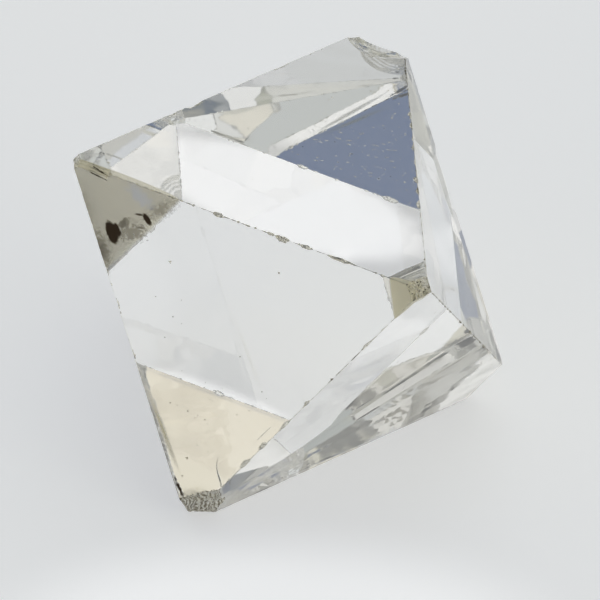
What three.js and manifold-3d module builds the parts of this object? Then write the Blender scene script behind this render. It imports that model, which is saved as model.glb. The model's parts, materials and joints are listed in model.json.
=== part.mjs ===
/**
 * Rough diamond: one natural crystal, an octahedron of eight slightly uneven growth faces, lying on
 * one of them. Its corners are broken and its edges are nicked by wear.
 *
 * Millimetres, +Z up. The stone rests on z = 0, under the middle of its bounding box, and +X runs
 * from corner B to corner E, its longest way.
 *
 * Seen from above, the corners stand 60 degrees apart. A, B and D are round the top face, and C, E
 * and F round the face it lies on. A face is named by its three corners, and an edge by its two.
 */
import * as THREE from 'three';
import { ConvexGeometry } from 'three/addons/geometries/ConvexGeometry.js';
import { mergeVertices } from 'three/addons/utils/BufferGeometryUtils.js';
import Module from 'manifold-3d';

const wasm = await Module();
wasm.setup();

// ---------------------------------------------------------------- driving dimensions, millimetres

/** Plan angle of each corner in degrees, and whether it belongs to the top or the bottom face. */
const CORNER_PLACES = {
  A: { angle: 60, level: 1 },
  B: { angle: 180, level: 1 },
  D: { angle: 300, level: 1 },
  E: { angle: 0, level: -1 },
  F: { angle: 120, level: -1 },
  C: { angle: 240, level: -1 },
};

/** How far each face grew from the crystal's centre. Equal distances would make a perfect octahedron. */
const FACE_DISTANCES = {
  ABD: 4.69,
  ABF: 4.96,
  AED: 4.95,
  AEF: 4.17,
  CBD: 4.72,
  CBF: 4.89,
  CED: 4.84,
  CEF: 5.29,
};

/**
 * The broken corners. distance is how far the break lies from the centre, reach how far it spreads,
 * bowl how deep its middle is scooped, and ripple the height of its ribs, which stand spacing apart.
 * A break faces the way its corner points, unless facing says otherwise.
 */
const BROKEN_CORNERS = [
  { corner: 'B', distance: 8.08, reach: 0.5, bowl: 0.02, ripple: 0.01, spacing: 0.2 },
  {
    corner: 'C', distance: 6.73, reach: 1.3, bowl: 0.04, ripple: 0.03, spacing: 0.4,
    facing: [0, -0.93, -0.37],
  },
  { corner: 'D', distance: 7.88, reach: 0.8, bowl: 0.05, ripple: 0.016, spacing: 0.3 },
  { corner: 'E', distance: 7.58, reach: 1.3, bowl: 0.02, ripple: 0.012, spacing: 0.4 },
  { corner: 'F', distance: 7.5, reach: 1.1, bowl: 0.1, ripple: 0.025, spacing: 0.35 },
];
const BREAK_CELL = 0.11;
/** Where each break was struck, as a share of its reach, and how much its lumps outdo its ribs. */
const BREAK_STRUCK = [-0.4, 0.3];
const BREAK_LUMPS = 1.5;
/** How far above a break the tools that make it reach, clear of the whole corner. */
const CLEAR = 2;

/** The oval shell on the right of the break at corner C, sunk into the lower right face. */
const OVAL_SHELL = {
  face: 'CED',
  at: [-2.5, -5.4, -4.7],
  along: [-0.6, 0.2, -0.75],
  length: 0.75,
  width: 0.5,
  depth: 0.1,
};

/**
 * The fan-shaped chip at corner A: a wide shell in the top face, a steeper one that takes off the
 * edge behind it, and a small one at the tip, with curved ribs round the point that was struck.
 * The ribs stand at their full height where the chip is ribsFrom deep.
 */
const FAN_CHIP = {
  shells: [
    { centre: [3.4, 4.72], radius: 1.17, depth: 0.14, steepness: 2 },
    { centre: [3.2, 5.6], radius: 1.36, depth: 0.39, steepness: 4 },
    { centre: [3.75, 5.0], radius: 0.65, depth: 0.5, steepness: 2 },
  ],
  struck: [3.6, 5.0],
  ribSpacing: 0.36,
  ribHeight: 0.014,
  ribsFrom: 0.12,
  halfWidth: 1.6,
  cells: 24,
};

/**
 * Growth ledges at corner B: a stepped bevel along edge BD. It rises to the edge over its last
 * runOut, and the steps' risers fade out over their last fade.
 */
const LEDGES = {
  edge: 'BD',
  from: 0.1,
  length: 1.3,
  steps: 4,
  cellsPerStep: 4,
  halfWidth: 0.15,
  depth: 0.1,
  riser: 0.045,
  runOut: 0.16,
  fade: 0.25,
};

/** Single nicks: the edge, the middle's distance from the edge's first corner, length and depth. */
const NICKS = [
  { edge: 'BD', at: 4.98, length: 0.42, depth: 0.06 },
  { edge: 'BD', at: 6.75, length: 0.3, depth: 0.05 },
  { edge: 'BD', at: 7.15, length: 0.5, depth: 0.09 },
  { edge: 'BD', at: 7.95, length: 0.42, depth: 0.06 },
  { edge: 'BD', at: 9.1, length: 0.9, depth: 0.05 },
  { edge: 'AD', at: 3.15, length: 0.22, depth: 0.06 },
  { edge: 'AD', at: 3.66, length: 0.3, depth: 0.07 },
  { edge: 'AD', at: 4.62, length: 0.26, depth: 0.06 },
  { edge: 'AD', at: 6.0, length: 0.3, depth: 0.08 },
  { edge: 'AD', at: 6.5, length: 0.34, depth: 0.08 },
  { edge: 'AD', at: 7.1, length: 0.4, depth: 0.07 },
  { edge: 'CD', at: 3.0, length: 0.55, depth: 0.07 },
  { edge: 'CD', at: 3.9, length: 0.4, depth: 0.08 },
  { edge: 'CD', at: 5.0, length: 0.5, depth: 0.06 },
  { edge: 'CD', at: 6.1, length: 0.3, depth: 0.06 },
  { edge: 'CD', at: 9.05, length: 0.45, depth: 0.05 },
  { edge: 'DE', at: 1.65, length: 0.28, depth: 0.06 },
  { edge: 'DE', at: 3.1, length: 0.3, depth: 0.07 },
  { edge: 'DE', at: 4.5, length: 0.34, depth: 0.08 },
  { edge: 'DE', at: 5.2, length: 0.24, depth: 0.05 },
  { edge: 'DE', at: 5.9, length: 0.4, depth: 0.09 },
  { edge: 'DE', at: 7.3, length: 0.3, depth: 0.06 },
  { edge: 'DE', at: 7.9, length: 0.5, depth: 0.1 },
  { edge: 'DE', at: 9.4, length: 0.3, depth: 0.06 },
  { edge: 'BC', at: 3.6, length: 0.26, depth: 0.05 },
  { edge: 'BC', at: 4.7, length: 0.4, depth: 0.07 },
  { edge: 'BC', at: 6.4, length: 0.24, depth: 0.05 },
  { edge: 'AB', at: 3.15, length: 0.6, depth: 0.05 },
  { edge: 'AB', at: 6.3, length: 0.7, depth: 0.09 },
  { edge: 'AB', at: 7.1, length: 0.4, depth: 0.06 },
  { edge: 'BF', at: 2.6, length: 0.5, depth: 0.08 },
  { edge: 'BF', at: 6.4, length: 0.4, depth: 0.07 },
  { edge: 'AF', at: 4.2, length: 0.5, depth: 0.09 },
  { edge: 'AF', at: 7.0, length: 0.4, depth: 0.06 },
  { edge: 'EF', at: 3.2, length: 0.6, depth: 0.09 },
  { edge: 'EF', at: 6.2, length: 0.4, depth: 0.07 },
];

/** A nick's ellipsoid: its half length to its length, its spread across the edge, and its roughness. */
const NICK_HALF_LENGTH = 0.58;
const NICK_SPREAD = { byDepth: 1.6, byLength: 0.16 };
const NICK_ROUGHNESS = 0.16;

/** Fine wear: small nicks spread along every edge, between these lengths and depths. */
const WEAR = { pitch: 1.1, shortest: 0.12, longest: 0.3, shallowest: 0.018, deepest: 0.045 };

/** Three-sided growth pits: the face, the pit's place in the crystal's frame, and its width. */
const PITS = [
  { face: 'CBD', at: [-0.75, -3.88, 3.61], width: 0.11 },
  { face: 'CBD', at: [-1.87, -4.45, 0.64], width: 0.07 },
  { face: 'CBD', at: [-1.22, -5.15, -0.18], width: 0.07 },
  { face: 'CBD', at: [-3.91, -4.16, -1.56], width: 0.08 },
  { face: 'CBD', at: [-3.7, -4.28, -1.55], width: 0.06 },
  { face: 'CBD', at: [-3.4, -4.5, -1.6], width: 0.09 },
  { face: 'CBD', at: [-3.1, -4.66, -1.62], width: 0.06 },
  { face: 'CBD', at: [-2.88, -4.8, -1.68], width: 0.08 },
  { face: 'CBD', at: [-3.41, -5.06, -3.05], width: 0.11 },
  { face: 'CBD', at: [-3.55, -5.23, -3.65], width: 0.09 },
  { face: 'CBD', at: [-3.93, -2.4, 2.72], width: 0.14 },
  { face: 'ABD', at: [1.25, 2.6, 4.69], width: 0.08 },
  { face: 'ABD', at: [-1.4, -0.9, 4.69], width: 0.06 },
  { face: 'AED', at: [4.3, 0.4, 2.68], width: 0.09 },
  { face: 'AED', at: [5.0, -1.2, 0.7], width: 0.08 },
  { face: 'CED', at: [3.6, -3.0, -0.4], width: 0.09 },
  { face: 'CED', at: [2.0, -4.6, -1.2], width: 0.08 },
];

/** The cleft that opens into face CBD above corner C: its middle line, widest at its foot. */
const CLEFT = {
  face: 'CBD',
  line: [[-2.4, -5.84, -3.54], [-2.47, -5.71, -3.27], [-2.54, -5.55, -3.0], [-2.46, -5.43, -2.62]],
  footWidth: 0.1,
  depth: 0.12,
};

/** A way that is square to no face, to turn the grid of a break and the three sides of a pit. */
const SKEW = new THREE.Vector3(0.3, 0.2, 1);

const FINISH = { color: 0xe9e8e2, roughness: 0.03, metalness: 0 };

// ---------------------------------------------------------------------------- the crystal lattice

const vector = (values) => new THREE.Vector3(...values);

/** Unit vector from the crystal's centre to a corner. */
function cornerDirection(name) {
  const { angle, level } = CORNER_PLACES[name];
  const reach = Math.sqrt(2 / 3);
  const turn = THREE.MathUtils.degToRad(angle);
  return new THREE.Vector3(reach * Math.cos(turn), reach * Math.sin(turn), level / Math.sqrt(3));
}

/** Outward normal of the face with these three corners. */
function faceNormal(name) {
  const sum = new THREE.Vector3();
  for (const corner of name) sum.add(cornerDirection(corner));
  return sum.normalize();
}

const FACES = Object.entries(FACE_DISTANCES).map(([name, distance]) => ({
  name,
  distance,
  normal: faceNormal(name),
}));

/** The point where three faces meet, or null where two of them are parallel. */
function meetingPoint(first, second, third) {
  const across = second.normal.clone().cross(third.normal);
  const volume = first.normal.dot(across);
  if (Math.abs(volume) < 1e-6) return null;
  return across.multiplyScalar(first.distance)
    .addScaledVector(third.normal.clone().cross(first.normal), second.distance)
    .addScaledVector(first.normal.clone().cross(second.normal), third.distance)
    .divideScalar(volume);
}

/** Every vertex of the crystal before any damage, with the names of the faces it lies on. */
function crystalVertices() {
  const vertices = [];
  for (let i = 0; i < FACES.length; i += 1) {
    for (let j = i + 1; j < FACES.length; j += 1) {
      for (let k = j + 1; k < FACES.length; k += 1) {
        const point = meetingPoint(FACES[i], FACES[j], FACES[k]);
        if (!point || FACES.some((face) => face.normal.dot(point) > face.distance + 1e-6)) continue;
        vertices.push({ point, faces: [FACES[i].name, FACES[j].name, FACES[k].name] });
      }
    }
  }
  return vertices;
}

const VERTICES = crystalVertices();

/** A point brought square onto the plane of a face. */
function ontoFace(name, values) {
  const point = vector(values);
  const normal = faceNormal(name);
  return point.addScaledVector(normal, FACE_DISTANCES[name] - point.dot(normal));
}

/** An edge's start, unit direction, length, and the way it faces, between its two faces. */
function edgeLine(name) {
  const [firstCorner, secondCorner] = name;
  const beside = FACES.filter((face) => face.name.includes(firstCorner) && face.name.includes(secondCorner));
  const ends = VERTICES
    .filter((vertex) => beside.every((face) => vertex.faces.includes(face.name)))
    .map((vertex) => vertex.point);
  const towards = cornerDirection(secondCorner).sub(cornerDirection(firstCorner));
  ends.sort((p, q) => p.dot(towards) - q.dot(towards));
  const start = ends[0];
  const direction = ends[ends.length - 1].clone().sub(start);
  const length = direction.length();
  const outward = beside[0].normal.clone().add(beside[1].normal).normalize();
  return { start, direction: direction.normalize(), length, outward };
}

// ------------------------------------------------------------------------------- solids and tools

/** A closed geometry as a solid that can be cut. */
function toSolid(geometry) {
  const bare = geometry.clone();
  bare.deleteAttribute('normal');
  bare.deleteAttribute('uv');
  const merged = mergeVertices(bare, 1e-5);
  const mesh = new wasm.Mesh({
    numProp: 3,
    vertProperties: new Float32Array(merged.attributes.position.array),
    triVerts: new Uint32Array(merged.index.array),
  });
  return new wasm.Manifold(mesh);
}

/** A solid's surface as a geometry. */
function toGeometry(solid) {
  const mesh = solid.getMesh();
  const geometry = new THREE.BufferGeometry();
  geometry.setAttribute('position', new THREE.BufferAttribute(new Float32Array(mesh.vertProperties), 3));
  geometry.setIndex(new THREE.BufferAttribute(new Uint32Array(mesh.triVerts), 1));
  return geometry;
}

/** A matrix that places local x along, and local z outward, at a point. */
function placement(origin, along, outward) {
  const z = outward.clone().normalize();
  const x = along.clone().addScaledVector(z, -along.dot(z)).normalize();
  const y = z.clone().cross(x);
  return new THREE.Matrix4().makeBasis(x, y, z).setPosition(origin);
}

/** A smooth, repeatable unevenness between -1 and 1 at a point of a plane. */
function unevenness(x, y, phase) {
  const broad = Math.sin(1.7 * x + 2.9 * y + phase) * Math.cos(2.3 * x - 1.1 * y + 2 * phase);
  const fine = Math.sin(5.3 * x - 3.7 * y + 3 * phase) * Math.sin(4.1 * x + 6.7 * y - phase);
  return 0.65 * broad + 0.35 * fine;
}

/**
 * A block that takes away all that stands above an uneven floor. Its floor's height comes from
 * heightAt(x, y), in a frame with x along and z outward from the origin, and its top is flat.
 */
function blockAbove({ origin, along, outward, halfX, halfY, cellsX, cellsY, top, heightAt }) {
  const points = [];
  for (const level of ['floor', 'top']) {
    for (let j = 0; j <= cellsY; j += 1) {
      for (let i = 0; i <= cellsX; i += 1) {
        const x = halfX * (2 * i / cellsX - 1);
        const y = halfY * (2 * j / cellsY - 1);
        points.push(x, y, level === 'floor' ? heightAt(x, y) : top);
      }
    }
  }
  const row = cellsX + 1;
  const layer = row * (cellsY + 1);
  const triangles = [];
  const quad = (a, b, c, d) => triangles.push(a, b, c, a, c, d);
  for (let j = 0; j < cellsY; j += 1) {
    for (let i = 0; i < cellsX; i += 1) {
      const a = j * row + i;
      quad(a, a + row, a + row + 1, a + 1);
      quad(layer + a, layer + a + 1, layer + a + row + 1, layer + a + row);
    }
  }
  for (let i = 0; i < cellsX; i += 1) {
    const far = cellsY * row + i;
    quad(i, i + 1, layer + i + 1, layer + i);
    quad(far + 1, far, layer + far, layer + far + 1);
  }
  for (let j = 0; j < cellsY; j += 1) {
    const near = j * row;
    const far = near + cellsX;
    quad(near + row, near, layer + near, layer + near + row);
    quad(far, far + row, layer + far + row, layer + far);
  }
  const geometry = new THREE.BufferGeometry();
  geometry.setAttribute('position', new THREE.Float32BufferAttribute(points, 3));
  geometry.setIndex(triangles);
  geometry.applyMatrix4(placement(origin, along, outward));
  return toSolid(geometry);
}

/** A rough ellipsoid that scoops a nick out of an edge. */
function scoop({ origin, along, outward, length, depth, phase }) {
  const geometry = new THREE.IcosahedronGeometry(1, 1);
  const position = geometry.attributes.position;
  for (let i = 0; i < position.count; i += 1) {
    const point = new THREE.Vector3().fromBufferAttribute(position, i);
    const swell = 1 + NICK_ROUGHNESS * unevenness(2 * point.x + point.z, 2 * point.y - point.z, phase);
    position.setXYZ(i, point.x * swell, point.y * swell, point.z * swell);
  }
  const spread = NICK_SPREAD.byDepth * depth + NICK_SPREAD.byLength * length;
  geometry.scale(NICK_HALF_LENGTH * length, spread, 2 * depth);
  geometry.translate(0, 0.5 * depth * Math.sin(phase), depth);
  geometry.applyMatrix4(placement(origin, along, outward));
  return toSolid(geometry);
}

// ----------------------------------------------------------------------------------- the damage

/** A broken corner: a shallow bowl with ribs that spread from where it was struck. */
function brokenCorner({ corner, distance, reach, bowl, ripple, spacing, facing }, index) {
  const tip = cornerDirection(corner);
  const outward = facing ? vector(facing).normalize() : tip.clone();
  const cells = Math.round(2 * reach / BREAK_CELL);
  const [struckX, struckY] = BREAK_STRUCK.map((share) => share * reach);
  const heightAt = (x, y) => {
    const ribs = ripple * Math.sin(2 * Math.PI * Math.hypot(x - struckX, y - struckY) / spacing);
    const dish = bowl * (3 * (x * x + y * y) / reach ** 2 - 1);
    const lumps = BREAK_LUMPS * ripple * unevenness(x / spacing, y / spacing, index + 1);
    return dish + ribs + lumps;
  };
  return blockAbove({
    origin: tip.multiplyScalar(distance / tip.dot(outward)),
    along: SKEW,
    outward,
    halfX: reach,
    halfY: reach,
    cellsX: cells,
    cellsY: cells,
    top: CLEAR,
    heightAt,
  });
}

/** The oval shell beside the break at corner C. */
function ovalShell() {
  const { face, at, along, length, width, depth } = OVAL_SHELL;
  const shell = new THREE.IcosahedronGeometry(1, 3);
  shell.scale(NICK_HALF_LENGTH * length, NICK_HALF_LENGTH * width, 2 * depth);
  shell.translate(0, 0, depth);
  shell.applyMatrix4(placement(ontoFace(face, at), vector(along), faceNormal(face)));
  return toSolid(shell);
}

/** The fan-shaped chip at corner A, cut by the lowest of its shells at each place. */
function fanChip() {
  const { shells, struck, ribSpacing, ribHeight, ribsFrom, halfWidth, cells } = FAN_CHIP;
  const [outer] = shells;
  const heightAt = (x, y) => {
    const atX = x + outer.centre[0];
    const atY = y + outer.centre[1];
    const floors = shells.map(({ centre, radius, depth, steepness }) => (
      depth * ((Math.hypot(atX - centre[0], atY - centre[1]) / radius) ** steepness - 1)
    ));
    const floor = Math.min(...floors);
    const fromStrike = Math.hypot(atX - struck[0], atY - struck[1]);
    const ribs = ribHeight * Math.sin(2 * Math.PI * fromStrike / ribSpacing);
    return floor < 0 ? floor + ribs * Math.min(1, -floor / ribsFrom) : floor;
  };
  return blockAbove({
    origin: new THREE.Vector3(...outer.centre, FACE_DISTANCES.ABD),
    along: new THREE.Vector3(1, 0, 0),
    outward: faceNormal('ABD'),
    halfX: halfWidth,
    halfY: halfWidth,
    cellsX: cells,
    cellsY: cells,
    top: CLEAR,
    heightAt,
  });
}

/** The stepped bevel along an edge, one saw tooth to a ledge. */
function growthLedges() {
  const { edge, from, length, steps, cellsPerStep, halfWidth, depth, riser, runOut, fade } = LEDGES;
  const line = edgeLine(edge);
  const halfAcross = 1.25 * halfWidth;
  const heightAt = (x, y) => {
    if (Math.abs(y) > halfWidth) return 2 * depth;
    const toEnd = 0.5 * length - x;
    const tooth = (y / halfWidth + 1) * steps / 2;
    const tread = riser * (tooth - Math.floor(tooth)) * Math.max(0, Math.min(1, toEnd / fade));
    const rise = depth * Math.max(0, 1 - toEnd / runOut);
    return tread + rise - depth;
  };
  return blockAbove({
    origin: line.start.clone().addScaledVector(line.direction, from + length / 2),
    along: line.direction,
    outward: line.outward,
    halfX: 0.5 * length,
    halfY: halfAcross,
    cellsX: 10,
    cellsY: Math.round(cellsPerStep * steps * halfAcross / halfWidth),
    top: 4 * depth,
    heightAt,
  });
}

/** One nick in an edge. */
function nick({ edge, at, length, depth }, phase) {
  const line = edgeLine(edge);
  const origin = line.start.clone().addScaledVector(line.direction, at);
  return scoop({ origin, along: line.direction, outward: line.outward, length, depth, phase });
}

/** The fine wear of one edge: small nicks at uneven steps, of uneven size. The sines only shuffle. */
function edgeWear(edge, edgeIndex) {
  const { pitch, shortest, longest, shallowest, deepest } = WEAR;
  const count = Math.floor(edgeLine(edge).length / pitch);
  const nicks = [];
  for (let i = 0; i < count; i += 1) {
    const phase = 1.9 * i + 4.3 * edgeIndex;
    const share = 0.5 + 0.5 * Math.sin(2.7 * phase);
    nicks.push(nick({
      edge,
      at: pitch * (i + 0.5 + 0.35 * Math.sin(5.1 * phase)),
      length: shortest + (longest - shortest) * share,
      depth: shallowest + (deepest - shallowest) * share,
    }, phase));
  }
  return nicks;
}

/** A three-sided pit that narrows to a point below the face. */
function pit({ face, at, width }) {
  const depth = 0.45 * width;
  const cone = new THREE.ConeGeometry(width, 2 * depth, 3, 1);
  cone.rotateX(-Math.PI / 2);
  cone.applyMatrix4(placement(ontoFace(face, at), SKEW, faceNormal(face)));
  return toSolid(cone);
}

/** The cleft: a slim crescent along its middle line, sunk straight into the face. */
function cleft() {
  const { face, line, footWidth, depth } = CLEFT;
  const normal = faceNormal(face);
  const curve = new THREE.CatmullRomCurve3(line.map((values) => ontoFace(face, values)));
  const steps = 10;
  const foot = curve.getPoint(0);
  const place = placement(foot, curve.getPoint(1).sub(foot), normal);
  const flat = place.clone().invert();
  const middle = curve.getPoints(steps).map((point) => point.applyMatrix4(flat));
  const side = (sign) => middle.map((point, i) => (
    new THREE.Vector2(point.x, point.y + sign * 0.5 * footWidth * (1 - i / steps) ** 0.8)
  ));
  const outline = [...side(-1), ...side(1).reverse().slice(1)];
  const shape = new THREE.Shape(outline);
  const blade = new THREE.ExtrudeGeometry(shape, { depth: 2 * depth, bevelEnabled: false });
  blade.translate(0, 0, -depth);
  blade.applyMatrix4(place);
  return toSolid(blade);
}

// ------------------------------------------------------------------------------------ the crystal

const EDGES = ['AB', 'BD', 'AD', 'AE', 'DE', 'CD', 'BC', 'BF', 'AF', 'EF', 'CF', 'CE'];

function roughDiamond() {
  const crystal = toSolid(new ConvexGeometry(VERTICES.map((vertex) => vertex.point)));
  const cuts = [
    ...BROKEN_CORNERS.map(brokenCorner),
    ovalShell(),
    fanChip(),
    growthLedges(),
    ...NICKS.map((size, index) => nick(size, 2.3 * index)),
    ...EDGES.flatMap(edgeWear),
    ...PITS.map(pit),
    cleft(),
  ];
  const damage = cuts.reduce((all, cut) => all.add(cut));
  const stone = toGeometry(crystal.subtract(damage));
  stone.computeBoundingBox();
  const box = stone.boundingBox;
  const middle = box.getCenter(new THREE.Vector3());
  stone.translate(-middle.x, -middle.y, -box.min.z);
  return new THREE.Mesh(stone, new THREE.MeshStandardMaterial(FINISH));
}

const stone = roughDiamond();
stone.name = 'rough_diamond';

const part = new THREE.Group();
part.add(stone);

export default part;
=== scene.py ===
"""Rough diamond, dressed: one clear octahedral crystal on a plain pale studio floor.

The stone is cut again from the eight growth faces of the frame's solid, with its breaks, chips, nicks
and pits in the same places. Growth relief, bruised edge lines and etch marks are added. The ribs of
the breaks, the chip at A, the wear and the nicks on edge DE, one fewer here, are finer than in the
solid, and the ledges at B are a little wider. Sizes are in millimetres in the crystal's own frame,
whose origin is the crystal's centre. The scene is in metres.

Seen from above, the crystal's corners stand 60 degrees apart. A, B and D are round the top face, and
C, E and F round the face it lies on. A face is named by its three corners, and an edge by its two.
"""

import json
import logging
import math
from collections.abc import Callable, Iterable, Mapping, Sequence
from dataclasses import dataclass, field
from enum import Enum
from functools import cached_property

import bpy
import numpy as np
from mathutils import Matrix, Vector
from mathutils.geometry import delaunay_2d_cdt

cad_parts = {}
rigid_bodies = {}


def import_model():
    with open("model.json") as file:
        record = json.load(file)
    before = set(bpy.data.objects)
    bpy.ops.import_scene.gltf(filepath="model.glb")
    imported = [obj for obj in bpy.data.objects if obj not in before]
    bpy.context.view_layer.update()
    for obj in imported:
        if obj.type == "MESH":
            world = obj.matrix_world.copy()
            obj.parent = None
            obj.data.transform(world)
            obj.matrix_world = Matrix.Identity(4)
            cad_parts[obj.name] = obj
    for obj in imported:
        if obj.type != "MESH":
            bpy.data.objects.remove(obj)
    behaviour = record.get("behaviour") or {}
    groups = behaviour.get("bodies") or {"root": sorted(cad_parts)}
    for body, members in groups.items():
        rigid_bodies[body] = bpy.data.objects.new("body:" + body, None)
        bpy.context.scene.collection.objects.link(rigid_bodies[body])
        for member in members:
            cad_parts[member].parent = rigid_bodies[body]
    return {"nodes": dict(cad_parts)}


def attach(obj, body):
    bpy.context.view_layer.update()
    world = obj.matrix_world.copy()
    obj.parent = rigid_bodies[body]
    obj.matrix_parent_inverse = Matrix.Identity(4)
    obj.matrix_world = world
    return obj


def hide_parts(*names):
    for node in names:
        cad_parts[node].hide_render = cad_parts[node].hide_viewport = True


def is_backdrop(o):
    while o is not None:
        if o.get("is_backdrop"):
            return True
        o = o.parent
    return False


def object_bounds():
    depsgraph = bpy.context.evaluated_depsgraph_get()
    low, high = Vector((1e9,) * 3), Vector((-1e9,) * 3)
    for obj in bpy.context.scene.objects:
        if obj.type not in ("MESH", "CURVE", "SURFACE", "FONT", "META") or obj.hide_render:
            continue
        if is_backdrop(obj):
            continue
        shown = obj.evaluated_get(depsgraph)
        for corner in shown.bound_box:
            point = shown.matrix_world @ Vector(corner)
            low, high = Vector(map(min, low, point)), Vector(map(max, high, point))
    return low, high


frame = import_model()
SOLID_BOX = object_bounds()

NODE = "rough_diamond"
BODY = "root"
MM = 0.001
SENSOR_WIDTH_MM = 36.0

log = logging.getLogger("rough_diamond")

Points = np.ndarray
HeightMap = Callable[[Points, Points], Points]


# ------------------------------------------------------------------------------ small shared tools


def linear(code: int) -> tuple[float, float, float]:
    """Turns an sRGB hex colour into linear light.

    Args:
        code: the colour as 0xRRGGBB.

    Returns:
        Red, green and blue in linear light, 0 to 1.
    """
    channels = ((code >> shift & 0xFF) / 255 for shift in (16, 8, 0))
    return tuple(c / 12.92 if c <= 0.04045 else ((c + 0.055) / 1.055) ** 2.4 for c in channels)


def unit(values: Sequence[float]) -> Points:
    """The unit vector along these values."""
    vector = np.asarray(values, float)
    return vector / np.linalg.norm(vector)


def unevenness(x: Points, y: Points, phase: float) -> Points:
    """A smooth, repeatable unevenness over a plane.

    Args:
        x: places along the plane.
        y: places across it.
        phase: shifts the pattern, so that no two surfaces share one.

    Returns:
        Heights between -1 and 1.
    """
    # The waves' numbers have no common factor, so the pattern doesn't repeat.
    broad = np.sin(1.7 * x + 2.9 * y + phase) * np.cos(2.3 * x - 1.1 * y + 2 * phase)
    fine = np.sin(5.3 * x - 3.7 * y + 3 * phase) * np.sin(4.1 * x + 6.7 * y - phase)
    return 0.65 * broad + 0.35 * fine


def wander(along: Points, pitch: float, seed: int) -> Points:
    """A smooth random line.

    Args:
        along: places on the line, mm.
        pitch: how far apart its turning points are, mm.
        seed: picks the line.

    Returns:
        Heights, mostly between -1 and 1.
    """
    random = np.random.default_rng(seed)
    low, high = float(np.min(along)), float(np.max(along))
    knots = random.uniform(-1, 1, max(4, int((high - low) / pitch) + 4))
    # Each place needs a knot on both sides.
    place = np.clip((along - low) / pitch, 0, len(knots) - 2.001)
    left = place.astype(int)
    share = place - left
    share = share * share * (3 - 2 * share)
    return knots[left] * (1 - share) + knots[left + 1] * share


def add_node(
    tree: bpy.types.NodeTree,
    kind: str,
    settings: Mapping[str, object] | None = None,
    links: Mapping[str | int, bpy.types.NodeSocket] | None = None,
) -> bpy.types.Node:
    """Adds a node with its settings and links.

    Args:
        tree: the node tree it goes into.
        kind: the node's type name.
        settings: properties by name, and input values by socket name or number.
        links: output sockets by the name or number of the input that each one feeds.

    Returns:
        The new node.
    """
    node = tree.nodes.new(kind)
    for name, value in (settings or {}).items():
        if isinstance(name, int) or name in node.inputs:
            node.inputs[name].default_value = value
        else:
            setattr(node, name, value)
    for name, source in (links or {}).items():
        tree.links.new(source, node.inputs[name])
    return node


# -------------------------------------------------------------------------------- the crystal form


class Corner(Enum):
    """A corner of the octahedron: its plan angle in degrees, and 1 for the top or -1 for the foot."""

    A = (60, 1)
    B = (180, 1)
    D = (300, 1)
    E = (0, -1)
    F = (120, -1)
    C = (240, -1)

    @property
    def direction(self) -> Points:
        """Unit vector from the crystal's centre to this corner."""
        angle, level = self.value
        turn = math.radians(angle)
        reach = math.sqrt(2 / 3)
        return np.array([reach * math.cos(turn), reach * math.sin(turn), level / math.sqrt(3)])


class Face(Enum):
    """A growth face, and how far it grew from the crystal's centre, mm."""

    ABD = 4.69
    ABF = 4.96
    AED = 4.95
    AEF = 4.17
    CBD = 4.72
    CBF = 4.89
    CED = 4.84
    CEF = 5.29

    @property
    def normal(self) -> Points:
        """Unit vector square to the face, outward."""
        return unit(sum(Corner[name].direction for name in self.name))

    @property
    def distance(self) -> float:
        """How far the face lies from the crystal's centre, mm."""
        return self.value

    def onto(self, place: Sequence[float]) -> Points:
        """A place brought square onto the face's plane."""
        return np.asarray(place) + (self.distance - self.normal @ np.asarray(place)) * self.normal


class Edge(Enum):
    """An edge of the octahedron, by its two corners."""

    AB = "AB"
    BD = "BD"
    AD = "AD"
    AE = "AE"
    DE = "DE"
    CD = "CD"
    BC = "BC"
    BF = "BF"
    AF = "AF"
    EF = "EF"
    CF = "CF"
    CE = "CE"

    @property
    def faces(self) -> tuple[Face, Face]:
        """The two faces that meet at this edge."""
        first, second = (face for face in Face if set(self.value) <= set(face.name))
        return first, second


@dataclass(frozen=True)
class EdgeLine:
    """Where an edge runs.

    Attributes:
        start: its first corner, mm.
        direction: the unit vector along it.
        length: how long it is, mm.
        outward: the unit vector halfway between its two faces' normals.
    """

    start: Points
    direction: Points
    length: float
    outward: Points

    def at(self, distance: float) -> Points:
        """The place this far along the edge."""
        return self.start + distance * self.direction


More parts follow.
